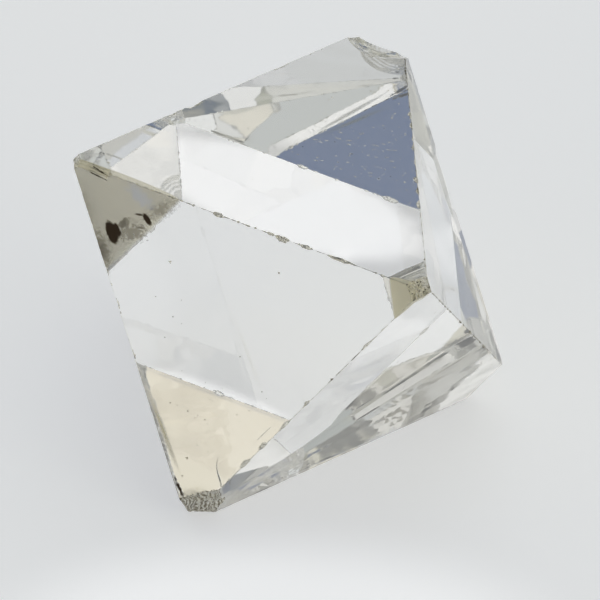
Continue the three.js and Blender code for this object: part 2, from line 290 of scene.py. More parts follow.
@dataclass
class Lattice:
    """The crystal's eight faces and what follows from them.

    Attributes:
        closeness: how near to a plane a vertex counts as lying on it, mm.
    """

    closeness: float = 1e-6

    @cached_property
    def normals(self) -> Points:
        """The outward normals of all faces, one to a row."""
        return np.array([face.normal for face in Face])

    @cached_property
    def distances(self) -> Points:
        """The distances of all faces, mm."""
        return np.array([face.distance for face in Face])

    @cached_property
    def vertices(self) -> list[Points]:
        """Every vertex of the undamaged crystal, mm."""
        found: list[Points] = []
        count = len(self.normals)
        trios = ((i, j, k) for i in range(count) for j in range(i + 1, count) for k in range(j + 1, count))
        for trio in map(list, trios):
            if abs(np.linalg.det(self.normals[trio])) < self.closeness:
                continue
            point = np.linalg.solve(self.normals[trio], self.distances[trio])
            if np.all(self.normals @ point <= self.distances + self.closeness):
                found.append(point)
        return found

    def corners_of(self, *faces: Face) -> list[Points]:
        """The vertices that lie on all of these faces."""
        return [
            point for point in self.vertices
            if all(abs(face.normal @ point - face.distance) < 10 * self.closeness for face in faces)
        ]

    @staticmethod
    def meeting(*faces: Face) -> Points:
        """Where the planes of three faces meet."""
        normals = np.array([face.normal for face in faces])
        return np.linalg.solve(normals, [face.distance for face in faces])

    def line(self, edge: Edge) -> EdgeLine:
        """Where an edge runs.

        Args:
            edge: the edge.

        Returns:
            Its line, from its first corner to its second.
        """
        first, second = edge.faces
        towards = Corner[edge.value[1]].direction - Corner[edge.value[0]].direction
        ends = sorted(self.corners_of(first, second), key=lambda point: point @ towards)
        span = ends[-1] - ends[0]
        outward = unit(first.normal + second.normal)
        return EdgeLine(ends[0], unit(span), float(np.linalg.norm(span)), outward)

    def neighbours(self, face: Face) -> list[Face]:
        """The three faces that share an edge with this one."""
        return [other for other in Face if len(set(other.name) & set(face.name)) == 2]

    def inset(self, points: Points, face: Face, other: Face) -> Points:
        """How far in from an edge places on a face lie.

        Args:
            points: the places, one to a row, mm.
            face: the face they are on.
            other: the face across the edge.

        Returns:
            The distances, mm.
        """
        across = np.linalg.norm(other.normal - (other.normal @ face.normal) * face.normal)
        return (other.distance - points @ other.normal) / across

    def centre_in_frame(self) -> Points:
        """Where the crystal's centre sits in the frame, from the frame's own solid.

        Returns:
            The offset from the crystal's frame to the part's frame, mm.
        """
        vertices = frame["nodes"][NODE].data.vertices
        places = np.empty(3 * len(vertices), np.float32)
        vertices.foreach_get("co", places)
        reach = (places.reshape(-1, 3).astype(float) / MM @ self.normals.T).max(axis=0)
        return np.linalg.lstsq(self.normals, reach - self.distances, rcond=None)[0]


# ------------------------------------------------------------------------------- closed tool shapes


@dataclass
class Solid:
    """A closed triangle mesh in the crystal's frame.

    Attributes:
        points: its points, one to a row, mm.
        triangles: three point numbers to a row, anticlockwise seen from outside.
    """

    points: Points
    triangles: Points

    def object(self, name: str, into: bpy.types.Collection) -> bpy.types.Object:
        """Makes a Blender object of the solid.

        Args:
            name: the object's name.
            into: the collection that takes it.

        Returns:
            The object.
        """
        mesh = bpy.data.meshes.new(name)
        mesh.from_pydata(self.points.tolist(), [], self.triangles.tolist())
        made = bpy.data.objects.new(name, mesh)
        into.objects.link(made)
        return made


@dataclass(frozen=True)
class Seat:
    """A place and way for a tool.

    Attributes:
        origin: the place, mm.
        along: the way of its local x, brought square to z.
        outward: the way of its local z.
    """

    origin: Points
    along: Points
    outward: Points

    @property
    def axes(self) -> Points:
        """The local x, y and z, one to a row."""
        z = unit(self.outward)
        x = unit(np.asarray(self.along) - (np.asarray(self.along) @ z) * z)
        return np.array([x, np.cross(z, x), z])

    def put(self, local: Points) -> Points:
        """Local points, one to a row, as places in the crystal's frame."""
        return np.asarray(self.origin) + local @ self.axes

    def take(self, places: Points) -> Points:
        """Places in the crystal's frame, one to a row, as local points."""
        return (places - np.asarray(self.origin)) @ self.axes.T


@dataclass
class HeightBlock:
    """A block that takes away all that stands above an uneven floor.

    Attributes:
        seat: where its local frame is.
        half: half its length along x and y, mm.
        cell: the size of its floor's cells, mm.
        top: how high it reaches, mm.
        height_at: the floor's height at x and y, mm.
    """

    seat: Seat
    half: tuple[float, float]
    cell: float
    top: float
    height_at: HeightMap

    def solid(self) -> Solid:
        """Builds the block.

        Returns:
            It, as a closed mesh.
        """
        cells = [max(2, math.ceil(2 * half / self.cell)) for half in self.half]
        xs, ys = (np.linspace(-half, half, count + 1) for half, count in zip(self.half, cells))
        x, y = (grid.ravel() for grid in np.meshgrid(xs, ys))
        floor = np.column_stack([x, y, self.height_at(x, y)])
        roof = np.column_stack([x, y, np.full_like(x, self.top)])
        row = cells[0] + 1
        layer = row * (cells[1] + 1)
        across = np.arange(cells[0])
        down = np.arange(cells[1])
        start = (down[:, None] * row + across).ravel()
        near, far = across, across + cells[1] * row
        left, right = down * row, down * row + cells[0]
        quads = np.concatenate([
            self._quads(start, start + row, start + row + 1, start + 1),
            self._quads(layer + start, layer + start + 1, layer + start + row + 1, layer + start + row),
            self._quads(near, near + 1, layer + near + 1, layer + near),
            self._quads(far + 1, far, layer + far, layer + far + 1),
            self._quads(left + row, left, layer + left, layer + left + row),
            self._quads(right, right + row, layer + right + row, layer + right),
        ])
        triangles = np.concatenate([quads[:, [0, 1, 2]], quads[:, [0, 2, 3]]])
        return Solid(self.seat.put(np.concatenate([floor, roof])), triangles)

    @staticmethod
    def _quads(*corners: Points) -> Points:
        """Four corner lists as one quad to a row."""
        return np.column_stack(corners)


def ball(subdivisions: int) -> tuple[Points, Points]:
    """A unit ball of triangles.

    Args:
        subdivisions: how often each side of the icosahedron is halved.

    Returns:
        Its points and its triangles.
    """
    golden = (1 + math.sqrt(5)) / 2
    first = [(-1, golden, 0), (1, golden, 0), (-1, -golden, 0), (1, -golden, 0)]
    turned = [(c, a, b) for a, b, c in first] + [(b, c, a) for a, b, c in first]
    points = [unit(point) for point in first + turned]
    ends = np.array(points)
    # The icosahedron's sides are the shortest gaps between its points.
    gaps = np.linalg.norm(ends[:, None] - ends[None], axis=2)
    side = np.min(gaps[gaps > 0]) * 1.1
    count = len(points)
    triangles = [
        (i, j, k) if np.linalg.det(ends[[i, j, k]]) > 0 else (i, k, j)
        for i in range(count) for j in range(i + 1, count) for k in range(j + 1, count)
        if max(gaps[i, j], gaps[j, k], gaps[k, i]) < side
    ]
    for _ in range(subdivisions):
        halves: dict[tuple[int, int], int] = {}

        def half(i: int, j: int) -> int:
            """The point halfway along a side, made once.

            Args:
                i: the number of the point at one end.
                j: the number of the point at the other.

            Returns:
                The number of the point between them.
            """
            key = (min(i, j), max(i, j))
            if key not in halves:
                halves[key] = len(points)
                points.append(unit(points[i] + points[j]))
            return halves[key]

        smaller = []
        for i, j, k in triangles:
            a, b, c = half(i, j), half(j, k), half(k, i)
            smaller += [(i, a, c), (j, b, a), (k, c, b), (a, b, c)]
        triangles = smaller
    return np.array(points), np.array(triangles)


# -------------------------------------------------------------------------------------- the damage


@dataclass(frozen=True)
class BrokenCorner:
    """A broken corner: a shallow bowl with ribs that spread from where it was struck.

    Attributes:
        corner: the corner that is gone.
        distance: how far the break lies from the centre, mm.
        reach: how far it spreads, mm.
        bowl: how deep its middle is scooped, mm.
        ripple: the height of its ribs, mm.
        spacing: how far apart the ribs stand, mm.
        facing: the way it faces, if not the way its corner points.
        hackle: the height of its fine torn ridges, mm.
        groove_darkening: how much darker its grooves are drawn than its ribs, as a share.
        cell: the size of the cells it is drawn in, mm.
        clear: how far it reaches out past the corner, mm.
    """

    corner: Corner
    distance: float
    reach: float
    bowl: float
    ripple: float
    spacing: float
    facing: tuple[float, float, float] | None = None
    hackle: float = 0.006
    groove_darkening: float = 0.0
    cell: float = 0.045
    clear: float = 2.0

    # Where it was struck, as a share of its reach.
    STRUCK = (-0.4, 0.3)
    # The height of its lumps, as a share of its ribs'.
    LUMPS = 1.5
    # How far a rib strays from its ring, as a share of the spacing, and how often in a millimetre.
    WAVE = 1.1
    WAVES_PER_MM = 2.2
    HACKLE_PITCH = 0.16
    # The way of a seat's local x, where any way does.
    SKEW = (0.3, 0.2, 1.0)

    def solid(self, phase: float) -> Solid:
        """The tool that breaks the corner off.

        Args:
            phase: tells this break's lumps from the others'.

        Returns:
            The tool.
        """
        struck_x, struck_y = self._struck

        def height_at(x: Points, y: Points) -> Points:
            """The break's floor: bowl, ribs, lumps and torn ridges that run out from the strike.

            Args:
                x: places along the seat, mm.
                y: places across it, mm.

            Returns:
                The heights there, mm.
            """
            turn = np.arctan2(y - struck_y, x - struck_x)
            ribs = self.ripple * self._rib(x, y)
            dish = self.bowl * (3 * (x * x + y * y) / self.reach**2 - 1)
            lumps = self.LUMPS * self.ripple * unevenness(x / self.spacing, y / self.spacing, phase)
            round_it = turn * self.reach
            torn = 1 - 2 * np.abs(unevenness(x / self.HACKLE_PITCH, round_it / self.HACKLE_PITCH, phase))
            return dish + ribs + lumps + self.hackle * torn

        return HeightBlock(self._seat, (self.reach, self.reach), self.cell, self.clear, height_at).solid()

    def held(self, places: Points) -> Points:
        """How much darker than usual its grooves are drawn, and how much lighter its ribs.

        Args:
            places: the places, one to a row, mm.

        Returns:
            The extra share at each, below 0 on a rib.
        """
        x, y, z = self._seat.take(places).T
        near = (np.hypot(x, y) < self.reach) & (np.abs(z) < self.bowl + 2 * self.spacing)
        return np.where(near, -self.groove_darkening * self._rib(x, y), 0)

    @property
    def _seat(self) -> Seat:
        """Where the break's local frame is."""
        tip = self.corner.direction
        outward = unit(self.facing) if self.facing else tip
        return Seat(tip * self.distance / (tip @ outward), np.array(self.SKEW), outward)

    @property
    def _struck(self) -> tuple[float, float]:
        """Where the corner was struck, in the break's local frame, mm."""
        across, up = (share * self.reach for share in self.STRUCK)
        return across, up

    def _rib(self, x: Points, y: Points) -> Points:
        """The ribs: rings round the strike, a little wavy.

        Args:
            x: places along the break, mm.
            y: places across it, mm.

        Returns:
            The ribs' height there, -1 to 1.
        """
        struck_x, struck_y = self._struck
        wave = unevenness(self.WAVES_PER_MM * x, self.WAVES_PER_MM * y, 4.0)
        away = np.hypot(x - struck_x, y - struck_y) + self.WAVE * wave * self.spacing
        return np.sin(2 * math.pi * away / self.spacing)


@dataclass(frozen=True)
class OvalShell:
    """The oval shell on the right of the break at corner C, sunk into the lower right face.

    Attributes:
        face: the face.
        at: its middle.
        along: the way it runs.
        length: how long it is, mm.
        width: how wide it is, mm.
        depth: how deep it is, mm.
        half_length: its ellipsoid's half length, as a share of its length.
        rib_spacing: how far apart its ribs stand, mm.
        rib_height: their height, as a share of its half size.
        struck: how far from its middle the ribs' middle lies, as a share of its half length.
    """

    face: Face = Face.CED
    at: tuple[float, float, float] = (-2.5, -5.4, -4.7)
    along: tuple[float, float, float] = (-0.6, 0.2, -0.75)
    length: float = 0.75
    width: float = 0.5
    depth: float = 0.1
    half_length: float = 0.58
    rib_spacing: float = 0.13
    rib_height: float = 0.05
    struck: float = 0.6

    SUBDIVISIONS = 4

    def solid(self) -> Solid:
        """An ellipsoid with ribs round a point to one side of its middle.

        Returns:
            The tool that sinks the shell.
        """
        points, triangles = ball(self.SUBDIVISIONS)
        away = np.hypot(points[:, 0] + self.struck, points[:, 1]) * self.half_length * self.length
        swell = 1 + self.rib_height * np.sin(2 * math.pi * away / self.rib_spacing)
        points = points * swell[:, None]
        points = points * [self.half_length * self.length, self.half_length * self.width, 2 * self.depth]
        seat = Seat(self.face.onto(self.at), np.array(self.along), self.face.normal)
        return Solid(seat.put(points + [0, 0, self.depth]), triangles)


@dataclass(frozen=True)
class Bowl:
    """One bowl of the fan-shaped chip, in the top face's plan.

    Attributes:
        centre: its middle, mm.
        radius: how far it spreads, mm.
        depth: how deep its middle is, mm.
        steepness: how steep its rim is, 2 for an even bowl.
    """

    centre: tuple[float, float]
    radius: float
    depth: float
    steepness: float


@dataclass(frozen=True)
class FanChip:
    """The fan-shaped chip at corner A, cut by the lowest of its bowls, with curved ribs.

    Attributes:
        bowls: a wide one in the top face, one that takes off the edge behind it, and one at the tip.
        struck: the point of the face that its ribs curve round.
        rib_spacing: how far apart the ribs stand, mm.
        rib_height: the ribs' height, mm.
        ribs_from: how deep the chip is where its ribs reach their full height, mm.
        sway: how far a rib strays from its circle, mm.
        half_width: half the width of the tool, mm.
        cell: the size of the cells it is drawn in, mm.
        clear: how far it reaches out past the face, mm.
    """

    bowls: tuple[Bowl, ...] = (
        Bowl((3.4, 4.72), 1.17, 0.06, 2),
        Bowl((3.2, 5.6), 1.36, 0.39, 4),
        Bowl((3.75, 5.0), 0.65, 0.5, 2),
    )
    struck: tuple[float, float] = (3.6, 5.0)
    rib_spacing: float = 0.14
    rib_height: float = 0.002
    ribs_from: float = 0.03
    sway: float = 0.05
    half_width: float = 1.6
    cell: float = 0.045
    clear: float = 2.0

    def solid(self) -> Solid:
        """A block whose floor is the lowest of the bowls.

        Returns:
            The tool that cuts the chip.
        """
        outer = self.bowls[0]

        def height_at(x: Points, y: Points) -> Points:
            """The lowest bowl at each place, with ribs that fade towards its rim.

            Args:
                x: places along the seat, mm.
                y: places across it, mm.

            Returns:
                The heights there, mm.
            """
            at_x, at_y = x + outer.centre[0], y + outer.centre[1]
            floors = []
            for bowl in self.bowls:
                share = np.hypot(at_x - bowl.centre[0], at_y - bowl.centre[1]) / bowl.radius
                floors.append(bowl.depth * (share**bowl.steepness - 1))
            floor = np.min(floors, axis=0)
            away = np.hypot(at_x - self.struck[0], at_y - self.struck[1])
            sway = self.sway * unevenness(at_x, at_y, 1.0)
            ribs = self.rib_height * np.sin(2 * math.pi * (away + sway) / self.rib_spacing)
            return np.where(floor < 0, floor + ribs * np.minimum(1, -floor / self.ribs_from), floor)

        seat = Seat(np.array([*outer.centre, Face.ABD.distance]), np.array([1.0, 0, 0]), Face.ABD.normal)
        return HeightBlock(seat, (self.half_width,) * 2, self.cell, self.clear, height_at).solid()


@dataclass(frozen=True)
class GrowthLedges:
    """Growth ledges at corner B: a stepped bevel along edge BD, one saw tooth to a ledge.

    Attributes:
        edge: the edge.
        start: how far from the edge's first corner they begin, mm.
        length: how long they are, mm.
        steps: how many there are.
        half_width: half the bevel's width, mm.
        depth: how far below the sharp edge the bevel lies, mm.
        riser: how high a ledge stands, mm.
        run_out: over how much of its far end the bevel rises to the edge, mm.
        fade: over how much of its far end the risers fade, mm.
        wave: how far a ledge strays from straight, mm.
        cell: the size of the cells they are drawn in, mm.
    """

    edge: Edge = Edge.BD
    start: float = 0.1
    length: float = 1.3
    steps: int = 4
    half_width: float = 0.2
    depth: float = 0.12
    riser: float = 0.05
    run_out: float = 0.16
    fade: float = 0.25
    wave: float = 0.01
    cell: float = 0.012

    WAVES = 9.0

    def solid(self, lattice: Lattice) -> Solid:
        """A block whose floor is a stepped bevel.

        Args:
            lattice: the crystal's form.

        Returns:
            The tool that cuts the ledges.
        """
        line = lattice.line(self.edge)

        def height_at(x: Points, y: Points) -> Points:
            """Treads and risers that fade towards the far end, where the bevel runs out.

            Args:
                x: places along the seat, mm.
                y: places across it, mm.

            Returns:
                The heights there, mm.
            """
            to_end = 0.5 * self.length - x
            tooth = ((y + self.wave * np.sin(self.WAVES * x)) / self.half_width + 1) * self.steps / 2
            tread = self.riser * (tooth - np.floor(tooth)) * np.clip(to_end / self.fade, 0, 1)
            rise = self.depth * np.maximum(0, 1 - to_end / self.run_out)
            return np.where(np.abs(y) > self.half_width, 2 * self.depth, tread + rise - self.depth)

        seat = Seat(line.at(self.start + self.length / 2), line.direction, line.outward)
        half = (0.5 * self.length, 1.25 * self.half_width)
        return HeightBlock(seat, half, self.cell, 4 * self.depth, height_at).solid()


@dataclass(frozen=True)
class Nick:
    """A nick in an edge.

    Attributes:
        edge: the edge.
        at: how far from the edge's first corner its middle is, mm.
        length: how long it is, mm.
        depth: how deep it is, mm.
    """

    edge: Edge
    at: float
    length: float
    depth: float

    # Its tool's half length as a share of its length, and its half width from its depth and length.
    HALF_LENGTH = 0.58
    SPREAD_BY_DEPTH = 1.6
    SPREAD_BY_LENGTH = 0.16
    # How far its surface strays from an ellipsoid, as a share of its size.
    ROUGHNESS = 0.16
    FINE_ROUGHNESS = 0.05

    def solid(self, lattice: Lattice, phase: float, subdivisions: int = 3) -> Solid:
        """The rough ellipsoid that scoops the nick out.

        Args:
            lattice: the crystal's form.
            phase: tells this nick's shape from the others'.
            subdivisions: how finely it is drawn.

        Returns:
            The tool.
        """
        line = lattice.line(self.edge)
        points, triangles = ball(subdivisions)
        x, y, z = points.T
        swell = 1 + self.ROUGHNESS * unevenness(2 * x + z, 2 * y - z, phase)
        swell += self.FINE_ROUGHNESS * unevenness(7 * x + z, 7 * y - 3 * z, 2 * phase)
        spread = self.SPREAD_BY_DEPTH * self.depth + self.SPREAD_BY_LENGTH * self.length
        points = points * swell[:, None] * [self.HALF_LENGTH * self.length, spread, 2 * self.depth]
        points += [0, 0.5 * self.depth * math.sin(phase), self.depth]
        return Solid(Seat(line.at(self.at), line.direction, line.outward).put(points), triangles)


@dataclass(frozen=True)
class FineWear:
    """Small nicks spread along every edge at uneven steps. The sines only shuffle them.

    Attributes:
        pitch: how far apart they are, mm.
        shortest: the length of the shortest, mm.
        longest: the length of the longest, mm.
        shallowest: the depth of the shallowest, mm.
        deepest: the depth of the deepest, mm.
    """

    pitch: float = 1.6
    shortest: float = 0.08
    longest: float = 0.2
    shallowest: float = 0.012
    deepest: float = 0.03

    # The shuffle: its turn from nick to nick, from edge to edge, in size and in place, and its reach.
    STEP_TURN = 1.9
    EDGE_TURN = 4.3
    SIZE_TURN = 2.7
    PLACE_TURN = 5.1
    STRAY = 0.35

    def nicks(self, edge: Edge, index: int, lattice: Lattice) -> Iterable[tuple[Nick, float]]:
        """The nicks of one edge, each with its phase.

        Args:
            edge: the edge.
            index: the edge's number, which shuffles its nicks.
            lattice: the crystal's form.

        Yields:
            Each nick and its phase.
        """
        for step in range(int(lattice.line(edge).length // self.pitch)):
            phase = self.STEP_TURN * step + self.EDGE_TURN * index
            share = 0.5 + 0.5 * math.sin(self.SIZE_TURN * phase)
            yield Nick(
                edge,
                self.pitch * (step + 0.5 + self.STRAY * math.sin(self.PLACE_TURN * phase)),
                self.shortest + (self.longest - self.shortest) * share,
                self.shallowest + (self.deepest - self.shallowest) * share,
            ), phase


@dataclass(frozen=True)
class EdgeBruise:
    """The narrow bruised line along an edge: a rough bevel with small scallops on both its sides.

    Attributes:
        edge: the edge.
        bevel: how far below the sharp edge the bevel lies, mm.
        scallops: how many scallops there are to a millimetre.
        scallop_depth: the deepest a scallop goes below the sharp edge, mm.
        scallop_length: the longest a scallop runs along the edge, mm.
        half_width: half the width of the tool, mm.
        cell: the size of the cells it is drawn in, mm.
        clear: how far it reaches out past the edge, mm.
    """

    edge: Edge
    bevel: float = 0.008
    scallops: float = 5.0
    scallop_depth: float = 0.032
    scallop_length: float = 0.1
    half_width: float = 0.16
    cell: float = 0.03
    clear: float = 0.3

    # How much the bevel's depth wanders, as a share of it, and over what length, mm.
    COARSE = (0.8, 0.11)
    FINE = (0.5, 0.04)
    SLANT = 3.0
    # How far the scallops spread to both sides, as a share of the half width.
    SPREAD = 0.6
    # A scallop's half width, and a scallop's length as a share of the longest: least, and added by size.
    SCALLOP_WIDTH = (0.03, 0.09)
    SCALLOP_RUN = (0.3, 0.7)
    SMALLEST = 0.25
    BOWL_EASE = 1.3

    def solid(self, lattice: Lattice, seed: int) -> Solid:
        """The tool that bruises the edge.

        Args:
            lattice: the crystal's form.
            seed: tells this edge's scallops from the others'.

        Returns:
            The tool.
        """
        line = lattice.line(self.edge)
        random = np.random.default_rng(seed)
        count = int(self.scallops * line.length)
        places = random.uniform(-0.5, 0.5, count) * line.length
        sides = random.uniform(-self.SPREAD, self.SPREAD, count) * self.half_width
        sizes = random.uniform(self.SMALLEST, 1, count) ** 2

        def height_at(x: Points, y: Points) -> Points:
            """The bevel, uneven along its run, cut by the scallops.

            Args:
                x: places along the seat, mm.
                y: places across it, mm.

            Returns:
                The heights there, mm.
            """
            (coarse, coarse_length), (fine, fine_length) = self.COARSE, self.FINE
            uneven = 1 + coarse * wander(x, coarse_length, seed + 1)
            depth = self.bevel * (uneven + fine * wander(x + self.SLANT * y, fine_length, seed + 2))
            for place, side, size in zip(places, sides, sizes):
                near = np.abs(x - place) < self.scallop_length
                length = self.scallop_length * (self.SCALLOP_RUN[0] + self.SCALLOP_RUN[1] * size) / 2
                width = self.SCALLOP_WIDTH[0] + self.SCALLOP_WIDTH[1] * size
                gap = ((x[near] - place) / length) ** 2 + ((y[near] - side) / width) ** 2
                depth[near] = np.maximum(depth[near], self.scallop_depth * size * (self.BOWL_EASE - gap))
            return -depth

        seat = Seat(line.at(line.length / 2), line.direction, line.outward)
        half = (0.5 * line.length, self.half_width)
        return HeightBlock(seat, half, self.cell, self.clear, height_at).solid()


@dataclass(frozen=True)
class Pit:
    """A three-sided growth pit, which narrows to a point below its face.

    Attributes:
        face: the face.
        at: its middle, mm.
        width: how far its tool's three corners lie from its middle, mm.
    """

    face: Face
    at: tuple[float, float, float]
    width: float

    # How deep it is, as a share of its width.
    SLOPE = 0.45

    def solid(self) -> Solid:
        """A three-sided spike.

        Returns:
            The tool that sinks the pit.
        """
        depth = self.SLOPE * self.width
        turns = np.radians([90, 210, 330])
        rim = np.column_stack([self.width * np.cos(turns), self.width * np.sin(turns), np.full(3, depth)])
        points = np.vstack([rim, [0, 0, -depth]])
        triangles = np.array([(0, 1, 2), (1, 0, 3), (2, 1, 3), (0, 2, 3)])
        seat = Seat(self.face.onto(self.at), np.array(BrokenCorner.SKEW), self.face.normal)
        return Solid(seat.put(points), triangles)


@dataclass(frozen=True)
class EtchMarks:
    """Short shallow etch marks scattered over part of a face, most of them along one way.

    Attributes:
        face: the face.
        area: three corners of the part of it that has them, mm.
        along: the way they run.
        count: how many there are.
        longest: the longest of them, mm.
        seed: picks where they lie.
    """

    face: Face
    area: tuple[tuple[float, float, float], ...]
    along: tuple[float, float, float]
    count: int
    longest: float
    seed: int

    # A mark's shortest length, its width and half its depth, mm. Real ones are a few micrometres
    # deep, too fine to show, so these are drawn as deep as they need to be to show.
    SHORTEST = 0.03
    WIDTH = 0.035
    DEPTH = 0.012
    DEPTH_RANGE = (0.7, 1.3)
    # How far a mark's way strays from the others'.
    STRAY = 0.25

    def solids(self) -> Iterable[Solid]:
        """Flat ellipsoids, placed at random.

        Yields:
            The tool that cuts each mark.
        """
        random = np.random.default_rng(self.seed)
        a, b, c = (self.face.onto(place) for place in self.area)
        points, triangles = ball(1)
        for _ in range(self.count):
            s, t = random.uniform(0, 1, 2)
            s, t = (1 - s, 1 - t) if s + t > 1 else (s, t)
            length = self.SHORTEST + (self.longest - self.SHORTEST) * random.uniform(0, 1) ** 2
            along = np.array(self.along) + random.uniform(-self.STRAY, self.STRAY, 3)
            shape = points * [length / 2, self.WIDTH / 2, self.DEPTH * random.uniform(*self.DEPTH_RANGE)]
            yield Solid(Seat(a + s * (b - a) + t * (c - a), along, self.face.normal).put(shape), triangles)


@dataclass(frozen=True)
class Grime:
    """Dirt held by the broken surfaces near a stretch of an edge.

    Attributes:
        edge: the edge.
        start: how far from the edge's first corner the stretch begins, mm.
        end: how far from it the stretch ends, mm.
        share: how much dirt they hold there, 0 to 1.
        radius: how far from the edge that reaches, mm.
    """

    edge: Edge
    start: float
    end: float
    share: float
    radius: float = 0.2


@dataclass(frozen=True)
class Smudge:
    """A soft-edged oval of colour on a face, its places in the crystal's frame, mm. Dark marks, painted
    shade and reflections, and the painted olive cast are drawn with it.

    Attributes:
        face: the face.
        start: one end of its middle line.
        end: the other end.
        width: how wide it is.
        strength: how strong it is in its middle, 0 to 1.
        blur: the share of its half width over which it fades out.
        ragged: how far its outline strays from an oval, as a share of its half width.
        depth: how far it reaches on both sides of the face's plane together, mm.
    """

    face: Face
    start: tuple[float, float, float]
    end: tuple[float, float, float]
    width: float
    strength: float = 1.0
    blur: float = 0.4
    ragged: float = 0.5
    depth: float = 0.4

    NARROWEST = 1e-3

    def share(
        self,
        tree: bpy.types.NodeTree,
        place: bpy.types.NodeSocket,
        noise: bpy.types.NodeSocket,
        offset: Points,
    ) -> bpy.types.NodeSocket:
        """Adds the nodes that say how strong the smudge is at a place.

        Args:
            tree: the node tree.
            place: the place, in metres in the part's frame.
            noise: an even noise, 0 to 1.
            offset: from the crystal's frame to the part's, mm.

        Returns:
            Its strength there, 0 to 1.
        """
        start, end = self.face.onto(self.start), self.face.onto(self.end)
        run = end - start + self.NARROWEST * unit(np.cross(self.face.normal, BrokenCorner.SKEW))
        x, z = unit(run), self.face.normal
        turn = Matrix(np.column_stack([x, np.cross(z, x), z]).tolist()).to_euler()
        half = [(np.linalg.norm(run) + self.width) / 2 * MM, self.width / 2 * MM, self.depth / 2 * MM]
        local = add_node(
            tree, "ShaderNodeMapping",
            {"vector_type": "TEXTURE", "Location": tuple(MM * ((start + end) / 2 + offset)),
             "Rotation": tuple(turn), "Scale": tuple(half)},
            {"Vector": place},
        ).outputs[0]
        away = add_node(tree, "ShaderNodeVectorMath", {"operation": "LENGTH"}, {0: local}).outputs["Value"]
        uneven = add_node(
            tree, "ShaderNodeMath", {"operation": "MULTIPLY_ADD", 1: 2 * self.ragged}, {0: noise, 2: away},
        ).outputs[0]
        return add_node(
            tree, "ShaderNodeMapRange",
            {"interpolation_type": "SMOOTHSTEP", "From Min": 1 + self.ragged - self.blur,
             "From Max": 1 + self.ragged, "To Min": self.strength, "To Max": 0.0},
            {"Value": uneven},
        ).outputs["Result"]


@dataclass(frozen=True)
class Cleft:
    """A slim crescent sunk straight into a face, along its middle line, widest at its foot.

    Attributes:
        face: the face.
        line: places on its middle line, from its foot to its tip.
        foot_width: how wide it is at its foot, mm.
        depth: how deep it is, mm.
        steps: how many pieces its length is drawn in.
        slimming: how fast it narrows, 1 for evenly.
    """

    face: Face
    line: tuple[tuple[float, float, float], ...]
    foot_width: float
    depth: float
    steps: int = 12
    slimming: float = 0.8

    SLIMMEST = 0.02
    FLOOR_WIDTH = 0.2

    def solid(self) -> Solid:
        """A bar along the middle line that slims towards its tip and its floor.

        Returns:
            The tool that cuts the crescent.
        """
        ends = np.array([self.face.onto(place) for place in self.line])
        share = np.linspace(0, 1, len(ends))
        run = np.linspace(0, 1, self.steps + 1)
        degree = min(3, len(ends) - 1)
        middle = np.column_stack([np.polyval(np.polyfit(share, across, degree), run) for across in ends.T])
        way = np.gradient(middle, axis=0)
        side = np.cross(self.face.normal, way)
        side /= np.linalg.norm(side, axis=1)[:, None]
        half = 0.5 * self.foot_width * np.maximum(1 - run, self.SLIMMEST)[:, None] ** self.slimming * side
        low_half = self.FLOOR_WIDTH * half
        rise = self.depth * self.face.normal
        top, low = middle + rise, middle - rise
        rings = np.stack([top - half, top + half, low - low_half, low + low_half], axis=1)
        points = rings.reshape(-1, 3)
        triangles = [(0, 1, 3), (0, 3, 2)]
        for step in range(self.steps):
            a, b = 4 * step, 4 * step + 4
            for i, j in ((1, 0), (0, 2), (2, 3), (3, 1)):
                triangles += [(a + i, a + j, b + j), (a + i, b + j, b + i)]
        last = 4 * self.steps
        triangles += [(last, last + 3, last + 1), (last, last + 2, last + 3)]
        return Solid(points, np.array(triangles))


# --------------------------------------------------------------------------------- the stone itself


@dataclass(frozen=True)
class GrowthFan:
    """Fine growth ridges that spread over a face from one of its corners, near one of its edges.

    Attributes:
        face: the face.
        corner: the faces that meet it at the corner the ridges start from.
        towards: the corner at the far end of the edge.
        span: how wide the fan opens from the edge, and over how much more it dies out, degrees.
        pitch: how far apart the ridges are, degrees.
        rise: the height of a ridge for each millimetre from the corner, mm.
        steady_from: how far from the corner a ridge stops growing in height, mm.
    """

    face: Face = Face.CED
    corner: tuple[Face, Face] = (Face.CBD, Face.CEF)
    towards: tuple[Face, Face] = (Face.AED, Face.CEF)
    span: tuple[float, float] = (27.0, 8.0)
    pitch: float = 3.4
    rise: float = 0.0012
    steady_from: float = 5.0

    SEED = 5

    def depth(self, points: Points, lattice: Lattice) -> Points:
        """How far below its plane the ridged face lies.

        Args:
            points: places on it, one to a row, mm.
            lattice: the crystal's form.

        Returns:
            The depths there, mm.
        """
        start = lattice.meeting(self.face, *self.corner)
        along = unit(lattice.meeting(self.face, *self.towards) - start)
        across = np.cross(self.face.normal, along)
        x, y = (points - start) @ along, (points - start) @ across
        turn = np.degrees(np.arctan2(np.abs(y), x))
        fade = np.clip(1 - (turn - self.span[0]) / self.span[1], 0, 1)
        height = self.rise * np.minimum(np.hypot(x, y), self.steady_from)
        return height * fade * (1 + wander(turn, self.pitch, self.SEED))


